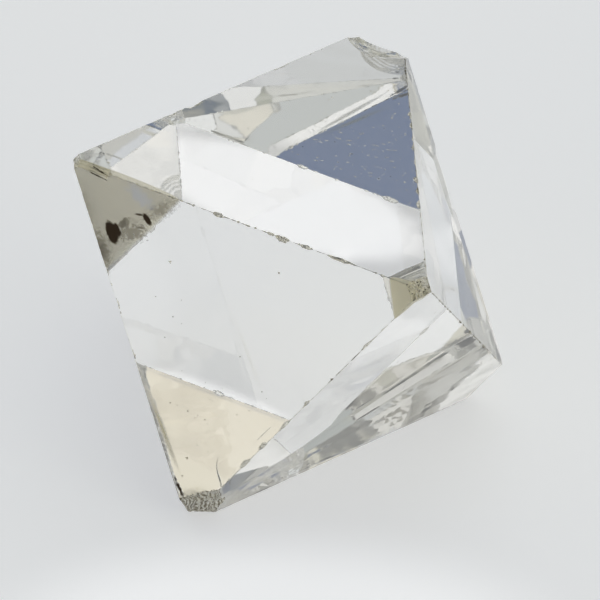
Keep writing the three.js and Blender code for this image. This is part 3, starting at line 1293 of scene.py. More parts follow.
@dataclass(frozen=True)
class GrowthRelief:
    """How the growth faces depart from flat, always inward.

    Attributes:
        swell: the height of their broad unevenness, mm.
        swell_length: how far apart that unevenness's crests are, mm.
        fall: how far a face falls away at its edges, mm.
        reach: how far in from an edge that is felt, mm.
        fan: the fine ridges on one of the faces.
    """

    swell: float = 0.0002
    swell_length: float = 3.0
    fall: float = 0.001
    reach: float = 0.2
    fan: GrowthFan = GrowthFan()

    SLANT = (0.5, -0.4)
    PHASE_PER_FACE = 13.0

    def depth(self, points: Points, face: Face, lattice: Lattice) -> Points:
        """How far below its plane a face lies.

        Args:
            points: places on it, one to a row, mm.
            face: the face.
            lattice: the crystal's form.

        Returns:
            The depths there, mm.
        """
        x, y, z = points.T * (2 / self.swell_length)
        phase = self.PHASE_PER_FACE * list(Face).index(face)
        depth = self.swell * (1 + unevenness(x + self.SLANT[0] * z, y + self.SLANT[1] * z, phase))
        for other in lattice.neighbours(face):
            depth += self.fall * np.exp(-((lattice.inset(points, face, other) / self.reach) ** 2))
        return depth + self.fan.depth(points, lattice) if face is self.fan.face else depth


@dataclass
class Stone:
    """The rough diamond: one clear crystal, worn at its edges and broken at its corners.

    Attributes:
        lattice: the crystal's form.
        relief: how its growth faces depart from flat.
        grid: how far apart the points of its faces are, mm.
        fine_grid: how far apart they are on the face with fine ridges, mm.
        rims: how far in from each edge the extra rows of points lie, mm.
        smooth_to: the widest angle, in degrees, that is shaded smooth within a break.
        on_face: how far below a face's plane a polygon may be and still be counted as grown, mm.
        grown_lean: how far a polygon may lean and still be counted as grown, degrees.
    """

    lattice: Lattice = field(default_factory=Lattice)
    relief: GrowthRelief = field(default_factory=GrowthRelief)
    grid: float = 0.17
    fine_grid: float = 0.09
    rims: tuple[float, ...] = (0.05, 0.11, 0.18, 0.27)
    smooth_to: float = 28.0
    on_face: float = 0.04
    grown_lean: float = 4.0

    # The faces out of sight are a little less smooth, so that what they throw back looks soft.
    FROSTED = (Face.ABF, Face.AEF, Face.CBF, Face.CEF)
    BREAKS = (
        BrokenCorner(Corner.B, 8.08, 0.5, 0.02, 0.01, 0.2, hackle=0.004, cell=0.03),
        BrokenCorner(
            Corner.C, 6.73, 1.3, 0.04, 0.014, 0.115, (0, -0.93, -0.37), groove_darkening=0.15, cell=0.022,
        ),
        BrokenCorner(Corner.D, 7.88, 0.8, 0.05, 0.016, 0.3),
        BrokenCorner(Corner.E, 7.576, 1.3, 0.02, 0.004, 0.4, hackle=0.002),
        BrokenCorner(Corner.F, 7.5, 1.1, 0.05, 0.006, 0.35, hackle=0.002),
    )
    # On each edge, how far from its first corner a nick is, its length and its depth, mm.
    NICKS = tuple(
        Nick(edge, *row)
        for edge, rows in {
            Edge.BD: (
                (4.98, 0.42, 0.06), (6.75, 0.3, 0.05), (7.15, 0.5, 0.09), (7.95, 0.42, 0.06),
                (9.1, 0.9, 0.05),
            ),
            Edge.AD: (
                (3.15, 0.22, 0.06), (3.66, 0.3, 0.07), (4.62, 0.26, 0.06), (6.0, 0.3, 0.08),
                (6.5, 0.34, 0.08), (7.1, 0.4, 0.07),
            ),
            Edge.CD: (
                (3.0, 0.55, 0.07), (3.9, 0.4, 0.08), (5.0, 0.5, 0.06), (6.1, 0.3, 0.06),
                (9.05, 0.45, 0.05),
            ),
            Edge.DE: (
                (1.65, 0.3, 0.03), (3.1, 0.3, 0.035), (4.5, 0.34, 0.04), (5.9, 0.4, 0.045),
                (7.3, 0.3, 0.03), (7.9, 0.5, 0.05), (9.4, 0.3, 0.03),
            ),
            Edge.BC: ((3.6, 0.26, 0.05), (4.7, 0.4, 0.07), (6.4, 0.24, 0.05)),
            Edge.AB: ((3.15, 0.6, 0.05), (6.3, 0.7, 0.09), (7.1, 0.4, 0.06)),
            Edge.BF: ((2.6, 0.5, 0.08), (6.4, 0.4, 0.07)),
            Edge.AF: ((4.2, 0.5, 0.09), (7.0, 0.4, 0.06)),
            Edge.EF: ((3.2, 0.6, 0.09), (6.2, 0.4, 0.07)),
        }.items()
        for row in rows
    )
    # On each face, where a pit is and its width, mm.
    PITS = tuple(
        Pit(face, at, width)
        for face, rows in {
            Face.CBD: (
                ((-0.75, -3.88, 3.61), 0.11), ((-1.87, -4.45, 0.64), 0.07),
                ((-1.22, -5.15, -0.18), 0.07), ((-3.91, -4.16, -1.56), 0.08),
                ((-3.7, -4.28, -1.55), 0.06), ((-3.4, -4.5, -1.6), 0.09),
                ((-3.1, -4.66, -1.62), 0.06), ((-2.88, -4.8, -1.68), 0.08),
                ((-3.41, -5.06, -3.05), 0.11), ((-3.55, -5.23, -3.65), 0.09),
                ((-3.93, -2.4, 2.72), 0.14),
            ),
            Face.ABD: (((1.25, 2.6, 4.69), 0.08), ((-1.4, -0.9, 4.69), 0.06)),
            Face.AED: (((4.3, 0.4, 2.68), 0.09), ((5.0, -1.2, 0.7), 0.08)),
            Face.CED: (((3.6, -3.0, -0.4), 0.09), ((2.0, -4.6, -1.2), 0.08)),
        }.items()
        for at, width in rows
    )
    CLEFT = Cleft(
        Face.CBD,
        ((-2.4, -5.84, -3.54), (-2.47, -5.71, -3.27), (-2.54, -5.55, -3.0), (-2.46, -5.43, -2.62)),
        foot_width=0.1,
        depth=0.12,
    )

    # On each face, the part of it that has them, their way, count, greatest length in mm, and seed.
    ETCHING = tuple(
        EtchMarks(face, area, *row)
        for face, area, row in (
            (Face.ABD, ((-0.4, 0.3, 4.69), (3.4, 2.2, 4.69), (3.5, -1.9, 4.69)),
             ((1, -0.25, 0), 90, 0.17, 11)),
            (Face.AED, ((4.6, -0.6, 1.9), (5.0, -2.6, 0.9), (5.5, -1.5, -0.5)),
             ((0.2, -0.5, -0.6), 26, 0.09, 12)),
            (Face.CBD, ((-5.2, -2.9, 2.0), (0.5, -5.4, 2.0), (-2.9, -5.2, -3.0)),
             ((1, -0.5, 0.2), 26, 0.07, 13)),
            (Face.CED, ((3.9, -5.0, 2.9), (4.9, -3.8, 1.4), (2.6, -4.6, -0.4)),
             ((0.6, 0, 0.8), 10, 0.12, 14)),
        )
    )
    GRIME = (
        Grime(Edge.EF, 0.0, 11.0, 0.2, 1.3),
        Grime(Edge.CF, 2.0, 11.0, 0.2, 0.3),
        Grime(Edge.AF, 0.0, 11.0, 0.2, 0.3),
        Grime(Edge.BF, 1.5, 11.0, 0.2, 0.3),
        Grime(Edge.AD, 0.0, 1.2, 0.05, 1.6),
        Grime(Edge.AD, 0.6, 2.1, 0.62, 0.05),
        Grime(Edge.AD, 2.1, 6.5, 0.5, 0.1),
        Grime(Edge.AD, 10.0, 10.7, 0.46, 0.6),
        Grime(Edge.CD, 7.2, 8.6, 0.6, 0.1),
        Grime(Edge.DE, 0.8, 8.6, 0.56, 0.15),
        Grime(Edge.BC, 10.6, 11.9, 0.52, 1.5),
        Grime(Edge.BC, 9.2, 11.4, 0.85, 0.08),
        Grime(Edge.BD, 0.0, 1.5, 0.15, 0.3),
    )
    # Corners that broke with a smooth, glassy surface, and how torn it is.
    GLASSY = {Corner.A: 0.25, Corner.E: 0.1, Corner.F: 0.1}
    GLASSY_REACH = 1.9
    USUAL_GRIME = 0.42

    # How near points are merged, as digits of a millimetre, and how near a plane they lie on it, mm.
    MERGE_DIGITS = 7
    ON_PLANE = 1e-5
    JUST_INSIDE = 0.99
    NICK_PHASE = 2.3
    WEAR_SUBDIVISIONS = 2
    SEEDS_PER_EDGE = 100
    FIRST_SEED = 7

    def crystal(self) -> Solid:
        """Draws the faces as fine triangles and gives them their growth relief.

        Returns:
            The undamaged crystal.
        """
        points, triangles = [], []
        count = 0
        for face in Face:
            made, tris = self._face(face)
            points.append(made)
            triangles.append(tris + count)
            count += len(made)
        joined = np.round(np.concatenate(points), self.MERGE_DIGITS)
        merged, index = np.unique(joined, axis=0, return_inverse=True)
        tris = index.ravel()[np.concatenate(triangles)]
        keep = (tris[:, 0] != tris[:, 1]) & (tris[:, 1] != tris[:, 2]) & (tris[:, 2] != tris[:, 0])
        return Solid(self._with_relief(merged), tris[keep])

    def _face(self, face: Face) -> tuple[Points, Points]:
        """One face as fine triangles.

        Args:
            face: the face.

        Returns:
            Its points and its triangles, which turn anticlockwise seen from outside.
        """
        corners = np.array(self.lattice.corners_of(face))
        u = unit(corners[1] - corners[0])
        v = np.cross(face.normal, u)
        middle = corners.mean(axis=0)
        order = np.argsort(np.arctan2((corners - middle) @ v, (corners - middle) @ u))
        corners = corners[order]
        ring = []
        for start, end in zip(corners, np.roll(corners, -1, axis=0)):
            cells = max(1, round(float(np.linalg.norm(end - start)) / self.grid))
            shares = np.arange(cells)[:, None] / cells
            low, high = sorted((start, end), key=tuple)
            run = low + shares * (high - low)
            ring.append(run if np.allclose(low, start) else np.vstack([high, run[1:][::-1]]))
        ring = np.concatenate(ring)
        flat = np.column_stack([(ring - middle) @ u, (ring - middle) @ v])
        grid = self.fine_grid if face is self.relief.fan.face else self.grid
        inside = self._inside(flat, corners, middle, u, v, grid)
        places = [Vector(p) for p in np.concatenate([flat, inside])]
        loop = [list(range(len(flat)))]
        found, _, tris, *_ = delaunay_2d_cdt(places, [], loop, 1, 10.0**-self.MERGE_DIGITS)
        flat_found = np.array([list(p) for p in found])
        solid = middle + flat_found[:, :1] * u + flat_found[:, 1:] * v
        solid[: len(ring)] = ring
        return solid, np.array(tris)

    def _inside(
        self, ring: Points, corners: Points, middle: Points, u: Points, v: Points, grid: float,
    ) -> Points:
        """A grid of triangles' points inside a face.

        Args:
            ring: the face's outline in its own plane.
            corners: the face's corners in the crystal's frame.
            middle: the face's middle.
            u: the plane's first direction.
            v: the plane's second direction.
            grid: how far apart the points are, mm.

        Returns:
            The points in the face's plane.
        """
        low, high = ring.min(axis=0), ring.max(axis=0)
        rise = grid * math.sqrt(3) / 2
        rows = np.arange(low[1], high[1], rise)
        xs = np.arange(low[0], high[0], grid)
        x = (xs[None, :] + np.where(np.arange(len(rows)) % 2, 0.5, 0)[:, None] * grid).ravel()
        y = np.repeat(rows, len(xs))
        flat = np.column_stack([(corners - middle) @ u, (corners - middle) @ v])
        sides = list(zip(flat, np.roll(flat, -1, axis=0)))
        inner = np.column_stack([x, y])
        kept = [inner[self._within(inner, sides, self.rims[-1] + 0.5 * grid)]]
        for rim in self.rims:
            for start, end in sides:
                way = unit(end - start)
                inward = np.array([-way[1], way[0]])
                count = max(2, round(float(np.linalg.norm(end - start)) / grid))
                row = start + np.linspace(0, 1, count)[:, None] * (end - start) + rim * inward
                kept.append(row[self._within(row, sides, self.JUST_INSIDE * rim)])
        return np.concatenate(kept)

    @staticmethod
    def _within(points: Points, sides: Sequence[tuple[Points, Points]], margin: float) -> Points:
        """Which points lie at least this far in from every side of a face.

        Args:
            points: points in the face's plane.
            sides: the start and end of each side, anticlockwise.
            margin: the distance, mm.

        Returns:
            True for each that does.
        """
        keep = np.ones(len(points), bool)
        for start, end in sides:
            way = unit(end - start)
            keep &= way[0] * (points[:, 1] - start[1]) - way[1] * (points[:, 0] - start[0]) > margin
        return keep

    def _with_relief(self, points: Points) -> Points:
        """Moves each point inward by the relief of the faces that it lies on.

        Args:
            points: points of the flat-faced crystal.

        Returns:
            The moved points.
        """
        on_plane = np.abs(points @ self.lattice.normals.T - self.lattice.distances) < self.ON_PLANE
        depths = np.array([self.relief.depth(points, face, self.lattice) for face in Face]).T
        moved = points.copy()
        patterns, which = np.unique(on_plane, axis=0, return_inverse=True)
        for number, pattern in enumerate(patterns):
            rows = which.ravel() == number
            if pattern.any():
                back = np.linalg.pinv(self.lattice.normals[pattern])
                moved[rows] -= depths[rows][:, pattern] @ back.T
        return moved

    def tools(self) -> list[Solid]:
        """Gathers the breaks, chips, nicks, pits and marks.

        Returns:
            Every tool that cuts the crystal.
        """
        cuts = [corner.solid(index + 1.0) for index, corner in enumerate(self.BREAKS)]
        cuts += [OvalShell().solid(), FanChip().solid(), GrowthLedges().solid(self.lattice)]
        for index, nick in enumerate(self.NICKS):
            cuts.append(nick.solid(self.lattice, self.NICK_PHASE * index))
        for index, edge in enumerate(Edge):
            for nick, phase in FineWear().nicks(edge, index, self.lattice):
                cuts.append(nick.solid(self.lattice, phase, self.WEAR_SUBDIVISIONS))
            seed = self.SEEDS_PER_EDGE * index + self.FIRST_SEED
            cuts.append(EdgeBruise(edge).solid(self.lattice, seed))
        cuts += [pit.solid() for pit in self.PITS]
        for marks in self.ETCHING:
            cuts += marks.solids()
        cuts.append(self.CLEFT.solid())
        return cuts

    def build(self) -> bpy.types.Object:
        """Cuts the crystal and makes it a piece of the scene.

        Returns:
            The stone, in metres, in the frame.
        """
        bench = bpy.data.collections.new("bench")
        bpy.context.scene.collection.children.link(bench)
        rough = self.crystal().object("crystal", bpy.context.scene.collection)
        for index, tool in enumerate(self.tools()):
            tool.object(f"tool_{index}", bench)
        cut = rough.modifiers.new("damage", "BOOLEAN")
        cut.operation = "DIFFERENCE"
        cut.operand_type = "COLLECTION"
        cut.collection = bench
        cut.solver = "MANIFOLD"
        graph = bpy.context.evaluated_depsgraph_get()
        mesh = bpy.data.meshes.new_from_object(rough.evaluated_get(graph))
        for made in [rough, *bench.objects]:
            bpy.data.meshes.remove(made.data)
        bpy.data.collections.remove(bench)
        mesh.name = "diamond_crystal"
        mesh.materials.clear()
        self._mark(mesh)
        mesh.transform(Matrix.Scale(MM, 4) @ Matrix.Translation(Vector(self.lattice.centre_in_frame())))
        stone = bpy.data.objects.new("diamond_crystal", mesh)
        bpy.context.scene.collection.objects.link(stone)
        return stone

    def _mark(self, mesh: bpy.types.Mesh) -> None:
        """Records what each polygon is, for the finish, and where shading stays sharp.

        Args:
            mesh: the cut crystal, in its own frame, mm.
        """
        count = len(mesh.polygons)
        centres = np.empty(3 * count, np.float32)
        mesh.polygons.foreach_get("center", centres)
        centres = centres.reshape(-1, 3).astype(float)
        facing = np.empty(3 * count, np.float32)
        mesh.polygons.foreach_get("normal", facing)
        facing = facing.reshape(-1, 3)
        gaps = self.lattice.distances - centres @ self.lattice.normals.T
        lean = facing @ self.lattice.normals.T
        grown = ((gaps < self.on_face) & (lean > math.cos(math.radians(self.grown_lean)))).any(axis=1)
        broken = mesh.attributes.new("broken", "FLOAT", "FACE")
        broken.data.foreach_set("value", np.where(grown, 0, self._torn(centres)).astype(np.float32))
        grime = mesh.attributes.new("grime", "FLOAT", "FACE")
        grime.data.foreach_set("value", np.where(grown, 0, self._grime(centres)).astype(np.float32))
        own_face = np.argmax(np.where(gaps < self.on_face, lean, -1), axis=1)
        frosted = grown & np.isin(own_face, [list(Face).index(face) for face in self.FROSTED])
        frost = mesh.attributes.new("frost", "FLOAT", "FACE")
        frost.data.foreach_set("value", frosted.astype(np.float32))
        mesh.polygons.foreach_set("use_smooth", np.ones(count, bool))
        mesh.set_sharp_from_angle(angle=math.radians(self.smooth_to))
        sharp = mesh.attributes.get("sharp_edge") or mesh.attributes.new("sharp_edge", "BOOLEAN", "EDGE")
        flags = np.empty(len(mesh.edges), bool)
        sharp.data.foreach_get("value", flags)
        loops = np.empty(len(mesh.loops), np.int32)
        mesh.loops.foreach_get("edge_index", loops)
        sizes = np.empty(count, np.int32)
        mesh.polygons.foreach_get("loop_total", sizes)
        of_loop = np.repeat(grown, sizes)
        sides = np.bincount(loops, minlength=len(flags))
        grown_sides = np.bincount(loops, weights=of_loop, minlength=len(flags))
        flags |= (grown_sides > 0) & (grown_sides < sides)
        sharp.data.foreach_set("value", flags)

    def _torn(self, places: Points) -> Points:
        """How torn broken surfaces are.

        Args:
            places: the places, one to a row, mm.

        Returns:
            The share at each, 0 to 1.
        """
        torn = np.ones(len(places))
        for corner, share in self.GLASSY.items():
            tip = self.lattice.meeting(*[face for face in Face if corner.name in face.name][:3])
            torn[np.linalg.norm(places - tip, axis=1) < self.GLASSY_REACH] = share
        return torn

    def _grime(self, places: Points) -> Points:
        """How much dirt broken surfaces hold.

        Args:
            places: the places, one to a row, mm.

        Returns:
            The share at each, 0 to 1 but for what grooves and ribs change.
        """
        share = np.full(len(places), self.USUAL_GRIME)
        for grime in self.GRIME:
            line = self.lattice.line(grime.edge)
            share[self._near(places, line.at(grime.start), line.at(grime.end), grime.radius)] = grime.share
        return share + sum(corner.held(places) for corner in self.BREAKS)

    @staticmethod
    def _near(places: Points, start: Points, end: Points, radius: float) -> Points:
        """Which places lie near a straight line.

        Args:
            places: the places, one to a row, mm.
            start: the line's start.
            end: its end.
            radius: how near counts, mm.

        Returns:
            True for each that does.
        """
        span = end - start
        along = np.clip((places - start) @ span / (span @ span), 0, 1)
        return np.linalg.norm(places - start - along[:, None] * span, axis=1) < radius


# --------------------------------------------------------------------------------------- finishes


@dataclass(frozen=True)
class ClearDiamond:
    """Natural diamond, as it grew and as it broke.

    Its growth faces are bright and nearly smooth, so that they mirror and pass light sharply. Where it is
    chipped or bruised, a fine torn grain scatters light, and brown dirt sits in specks. A real torn grain
    is a few micrometres wide, too fine to show, so the grain, its mottling and the specks are drawn as
    coarse as they need to be to show. Near its corners an olive cast, a pale blue reflection and
    near-black shade and reflections are painted on.

    Attributes:
        ior: its index of refraction.
        specular: the shader's specular level where it is clean.
        clear: the colour of its grown surfaces.
        bruised: the colour of its broken ones.
        stain_and_painted_cast: the colour under brown stain, and of the olive cast painted near the
            corners.
        reflected_blue: the colour of the pale blue reflection painted near corner B.
        dirt_and_shade_colour: the colour of the dirt specks, and of the near-black shade and reflections
            painted near corner B.
        dirt_mm: how wide a speck is, mm.
        dirt_spread: how far the specks' noise moves the share of dirt.
        dirt_from: the share of dirt at which a speck begins to show.
        dirt_to: the share at which it shows fully.
        dirt_most: how much of the light a speck stops.
        break_roughness: how rough a torn surface is.
        film_roughness: how rough the film is.
        frost_roughness: how rough the faces out of sight are.
        body_tint: the colour its body takes light to.
        body_density: how fast it does so, per metre.
        grain_mm: how wide the torn grain is, mm.
        grain_height: how high the grain is, m.
        mottle_mm: how wide the raggedness of films and smudges is, mm.
        noise_roughness: how much finer lumps add to each noise.
    """

    ior: float = 2.417
    specular: float = 0.5
    clear: int = 0xFFFFFF
    bruised: int = 0xF4F2EA
    stain_and_painted_cast: int = 0xBFB27C
    reflected_blue: int = 0xB9C4DE
    dirt_and_shade_colour: int = 0x40352A
    dirt_mm: float = 0.07
    dirt_spread: float = 1.0
    dirt_from: float = 0.5
    dirt_to: float = 0.58
    dirt_most: float = 0.85
    break_roughness: float = 0.22
    film_roughness: float = 0.3
    frost_roughness: float = 0.015
    body_tint: int = 0xF2EFE6
    body_density: float = 14.0
    grain_mm: float = 0.05
    grain_height: float = 0.000004
    mottle_mm: float = 0.11
    noise_roughness: float = 0.6

    # How many times finer lumps are added to the torn grain, and to the mottling and the specks.
    GRAIN_DETAIL = 3.0
    DETAIL = 2.0

    # Olive cast, painted as a soft darker tint inside the clear faces at the corners, where it stands in
    # for the surroundings seen through them; a rougher film lies on the same places. Each row is a
    # smudge's two ends, width and strength, and then its blur, raggedness and depth.
    FILMS_AND_PAINTED_CASTS = tuple(
        Smudge(Face.CBD, *row)
        for row in (
            ((2.89, -4.15, 8.03), (3.82, -7.65, 0.89), 2.0, 1.0, 0.08, 0.03),
            ((-9.6, -0.49, -0.62), (-2.48, -0.67, 9.04), 4.2, 0.8, 0.06, 0.02),
            ((-4.75, -3.4, -1.0), (-3.5, -5.3, -3.85), 0.26, 1.0, 0.9, 0.1),
            ((3.1, -5.6, 4.5), (3.3, -5.75, 4.4), 0.9, 0.9, 0.4, 0.2, 1.6),
            ((-3.3, -5.65, -4.35), (-2.6, -5.9, -4.2), 1.2, 0.75, 0.5, 0.3, 1.6),
        )
    )
    # A pale blue reflection, painted on the face near corner B.
    PAINTED_BLUE_REFLECTION = Smudge(Face.CBD, (-5.05, -0.98, 4.5), (-4.6, -1.35, 4.22), 0.62, 0.75, 0.8, 0.9)
    # Near-black marks. Near corner B they are painted: dark reflections, and shade in three fine lines
    # along its growth ledges. One lies beside the break at corner C, and one is a hairline.
    DARK_MARKS_AND_PAINTED_SHADE = tuple(
        Smudge(Face.CBD, *row)
        for row in (
            ((-5.7, -1.18, 3.14), (-5.58, -1.42, 2.78), 0.46, 1.0, 0.3, 0.25),
            ((-5.54, -1.28, 3.18), (-5.42, -1.4, 2.96), 0.3, 1.0, 0.4, 0.35),
            ((-5.4, -1.36, 3.24), (-5.16, -1.34, 3.5), 0.42, 0.8, 0.7, 0.5),
            ((-4.98, -1.44, 3.8), (-4.72, -1.5, 3.84), 0.1, 0.95, 0.5, 0.5),
            ((-4.7, -1.48, 3.86), (-4.5, -1.66, 3.62), 0.24, 1.0, 0.4, 0.4),
            ((-4.95, -1.62, 3.4), (-4.7, -1.68, 3.46), 0.12, 0.8, 0.6, 0.9),
            ((-6.05, -1.2, 2.75), (-5.85, -1.66, 1.9), 0.95, 0.8, 0.95, 0.5),
            ((-6.6, -0.2, 4.2), (-6.2, -1.1, 2.8), 0.8, 0.4, 1.0, 0.3),
            ((-4.6, -1.6, 3.85), (-3.8, -1.72, 4.55), 0.75, 0.6, 0.95, 0.6),
            ((-5.3, -1.5, 3.1), (-4.9, -1.64, 3.3), 0.8, 0.6, 0.7, 1.4),
            ((-3.82, -5.09, -3.7), (-3.45, -5.6, -4.4), 0.16, 1.0, 0.7, 0.7),
            ((-1.56, -5.7, -1.99), (-0.74, -5.7, -0.84), 0.03, 0.6, 0.8, 0.8),
            ((-6.47, -0.05, 4.9), (-5.47, -0.69, 4.73), 0.06, 1.0, 0.5, 0.7),
            ((-6.5, -0.1, 4.73), (-5.7, -0.62, 4.58), 0.06, 1.0, 0.5, 0.7),
            ((-6.47, -0.19, 4.56), (-5.76, -0.63, 4.47), 0.06, 1.0, 0.5, 0.7),
        )
    )

    def material(self, offset: Points) -> bpy.types.Material:
        """Builds the material.

        Args:
            offset: from the crystal's frame to the part's, mm.

        Returns:
            The material.
        """
        material = bpy.data.materials.new("clear_rough_diamond")
        material.use_nodes = True
        tree = material.node_tree
        tree.nodes.clear()
        broken = add_node(tree, "ShaderNodeAttribute", {"attribute_name": "broken"}).outputs["Fac"]
        held = add_node(tree, "ShaderNodeAttribute", {"attribute_name": "grime"}).outputs["Fac"]
        place = add_node(tree, "ShaderNodeTexCoord").outputs["Object"]
        grain = self._noise(tree, place, self.grain_mm, self.GRAIN_DETAIL)
        mottle = self._noise(tree, place, self.mottle_mm, self.DETAIL)
        specks = self._noise(tree, place, self.dirt_mm, self.DETAIL)
        spread = add_node(
            tree, "ShaderNodeMath",
            {"operation": "MULTIPLY_ADD", 1: self.dirt_spread, 2: -0.5 * self.dirt_spread},
            {0: specks},
        ).outputs[0]
        amount = add_node(tree, "ShaderNodeMath", {"operation": "ADD"}, {0: spread, 1: held}).outputs[0]
        speckled = add_node(
            tree, "ShaderNodeMapRange",
            {"interpolation_type": "SMOOTHSTEP", "From Min": self.dirt_from, "From Max": self.dirt_to,
             "To Max": self.dirt_most},
            {"Value": amount},
        ).outputs["Result"]
        # The films make their places rougher, and their olive tint is a painted cast.
        film_and_cast = self._strongest(tree, [smudge.share(tree, place, mottle, offset) for smudge in self.FILMS_AND_PAINTED_CASTS])
        stain_and_cast = self._strongest(tree, [film_and_cast, held])
        # Painted reflection: a pale blue patch laid over the colour.
        blue_reflection = self.PAINTED_BLUE_REFLECTION.share(tree, place, mottle, offset)
        frost = add_node(tree, "ShaderNodeAttribute", {"attribute_name": "frost"}).outputs["Fac"]
        roughness = self._strongest(tree, [
            add_node(tree, "ShaderNodeMath", {"operation": "MULTIPLY", 1: most}, {0: share}).outputs[0]
            for share, most in (
                (broken, self.break_roughness), (film_and_cast, self.film_roughness), (frost, self.frost_roughness),
            )
        ])
        uneven = self._strongest(tree, [broken, film_and_cast])
        # Near-black: the dirt specks, and the painted shade and dark reflections near corner B.
        dirt_and_painted_shade = self._strongest(
            tree, [speckled] + [smudge.share(tree, place, mottle, offset) for smudge in self.DARK_MARKS_AND_PAINTED_SHADE],
        )
        see_through = add_node(
            tree, "ShaderNodeMath", {"operation": "SUBTRACT", 0: 1.0}, {1: dirt_and_painted_shade},
        ).outputs[0]
        shine = add_node(
            tree, "ShaderNodeMath", {"operation": "MULTIPLY", 1: self.specular}, {0: see_through},
        ).outputs[0]
        worn = self._mix(tree, broken, self.clear, self.bruised)
        tinted = self._mix(tree, blue_reflection, self._mix(tree, stain_and_cast, worn, self.stain_and_painted_cast), self.reflected_blue)
        colour = self._mix(tree, dirt_and_painted_shade, tinted, self.dirt_and_shade_colour)
        bump = add_node(
            tree, "ShaderNodeBump", {"Distance": self.grain_height}, {"Height": grain, "Strength": uneven},
        ).outputs["Normal"]
        shader = add_node(
            tree, "ShaderNodeBsdfPrincipled",
            {"IOR": self.ior, "Metallic": 0.0},
            {"Base Color": colour, "Roughness": roughness, "Normal": bump,
             "Transmission Weight": see_through, "Specular IOR Level": shine},
        ).outputs["BSDF"]
        body = add_node(
            tree, "ShaderNodeVolumeAbsorption",
            {"Color": (*linear(self.body_tint), 1), "Density": self.body_density},
        ).outputs["Volume"]
        add_node(tree, "ShaderNodeOutputMaterial", {}, {"Surface": shader, "Volume": body})
        return material

    def _noise(
        self, tree: bpy.types.NodeTree, place: bpy.types.NodeSocket, size_mm: float, detail: float,
    ) -> bpy.types.NodeSocket:
        """An even noise, 0 to 1, whose lumps are about this size."""
        settings = {"Scale": 1 / (size_mm * MM), "Detail": detail, "Roughness": self.noise_roughness}
        return add_node(tree, "ShaderNodeTexNoise", settings, {"Vector": place}).outputs["Fac"]

    @staticmethod
    def _strongest(
        tree: bpy.types.NodeTree, shares: Sequence[bpy.types.NodeSocket],
    ) -> bpy.types.NodeSocket:
        """Takes the greatest of several shares.

        Args:
            tree: the node tree.
            shares: the shares.

        Returns:
            The greatest.
        """
        most, *others = shares
        for share in others:
            links = {0: most, 1: share}
            most = add_node(tree, "ShaderNodeMath", {"operation": "MAXIMUM"}, links).outputs[0]
        return most

    @staticmethod
    def _mix(
        tree: bpy.types.NodeTree, share: bpy.types.NodeSocket, start: int | bpy.types.NodeSocket, end: int,
    ) -> bpy.types.NodeSocket:
        """Mixes from a colour, plain or linked, to a plain colour.

        Args:
            tree: the node tree.
            share: how much of the second colour there is.
            start: the first colour.
            end: the second colour.

        Returns:
            The mixed colour.
        """
        plain = {6: (*linear(start), 1)} if isinstance(start, int) else {}
        linked = {} if isinstance(start, int) else {6: start}
        settings = {"data_type": "RGBA", 7: (*linear(end), 1), **plain}
        return add_node(tree, "ShaderNodeMix", settings, {0: share, **linked}).outputs[2]


@dataclass(frozen=True)
class PaintedLightPool:
    """A pool of light painted into the opal sheet's glow.

    Attributes:
        at: its place on the floor, mm.
        half: half the length and half the width of its bright middle, mm.
        fade: how many times as large the oval is at which it has faded.
        gain: how much more the sheet glows there.
        turn: how far the oval is turned anticlockwise, degrees.
    """

    at: tuple[float, float]
    half: tuple[float, float]
    fade: float
    gain: float
    turn: float = 0.0


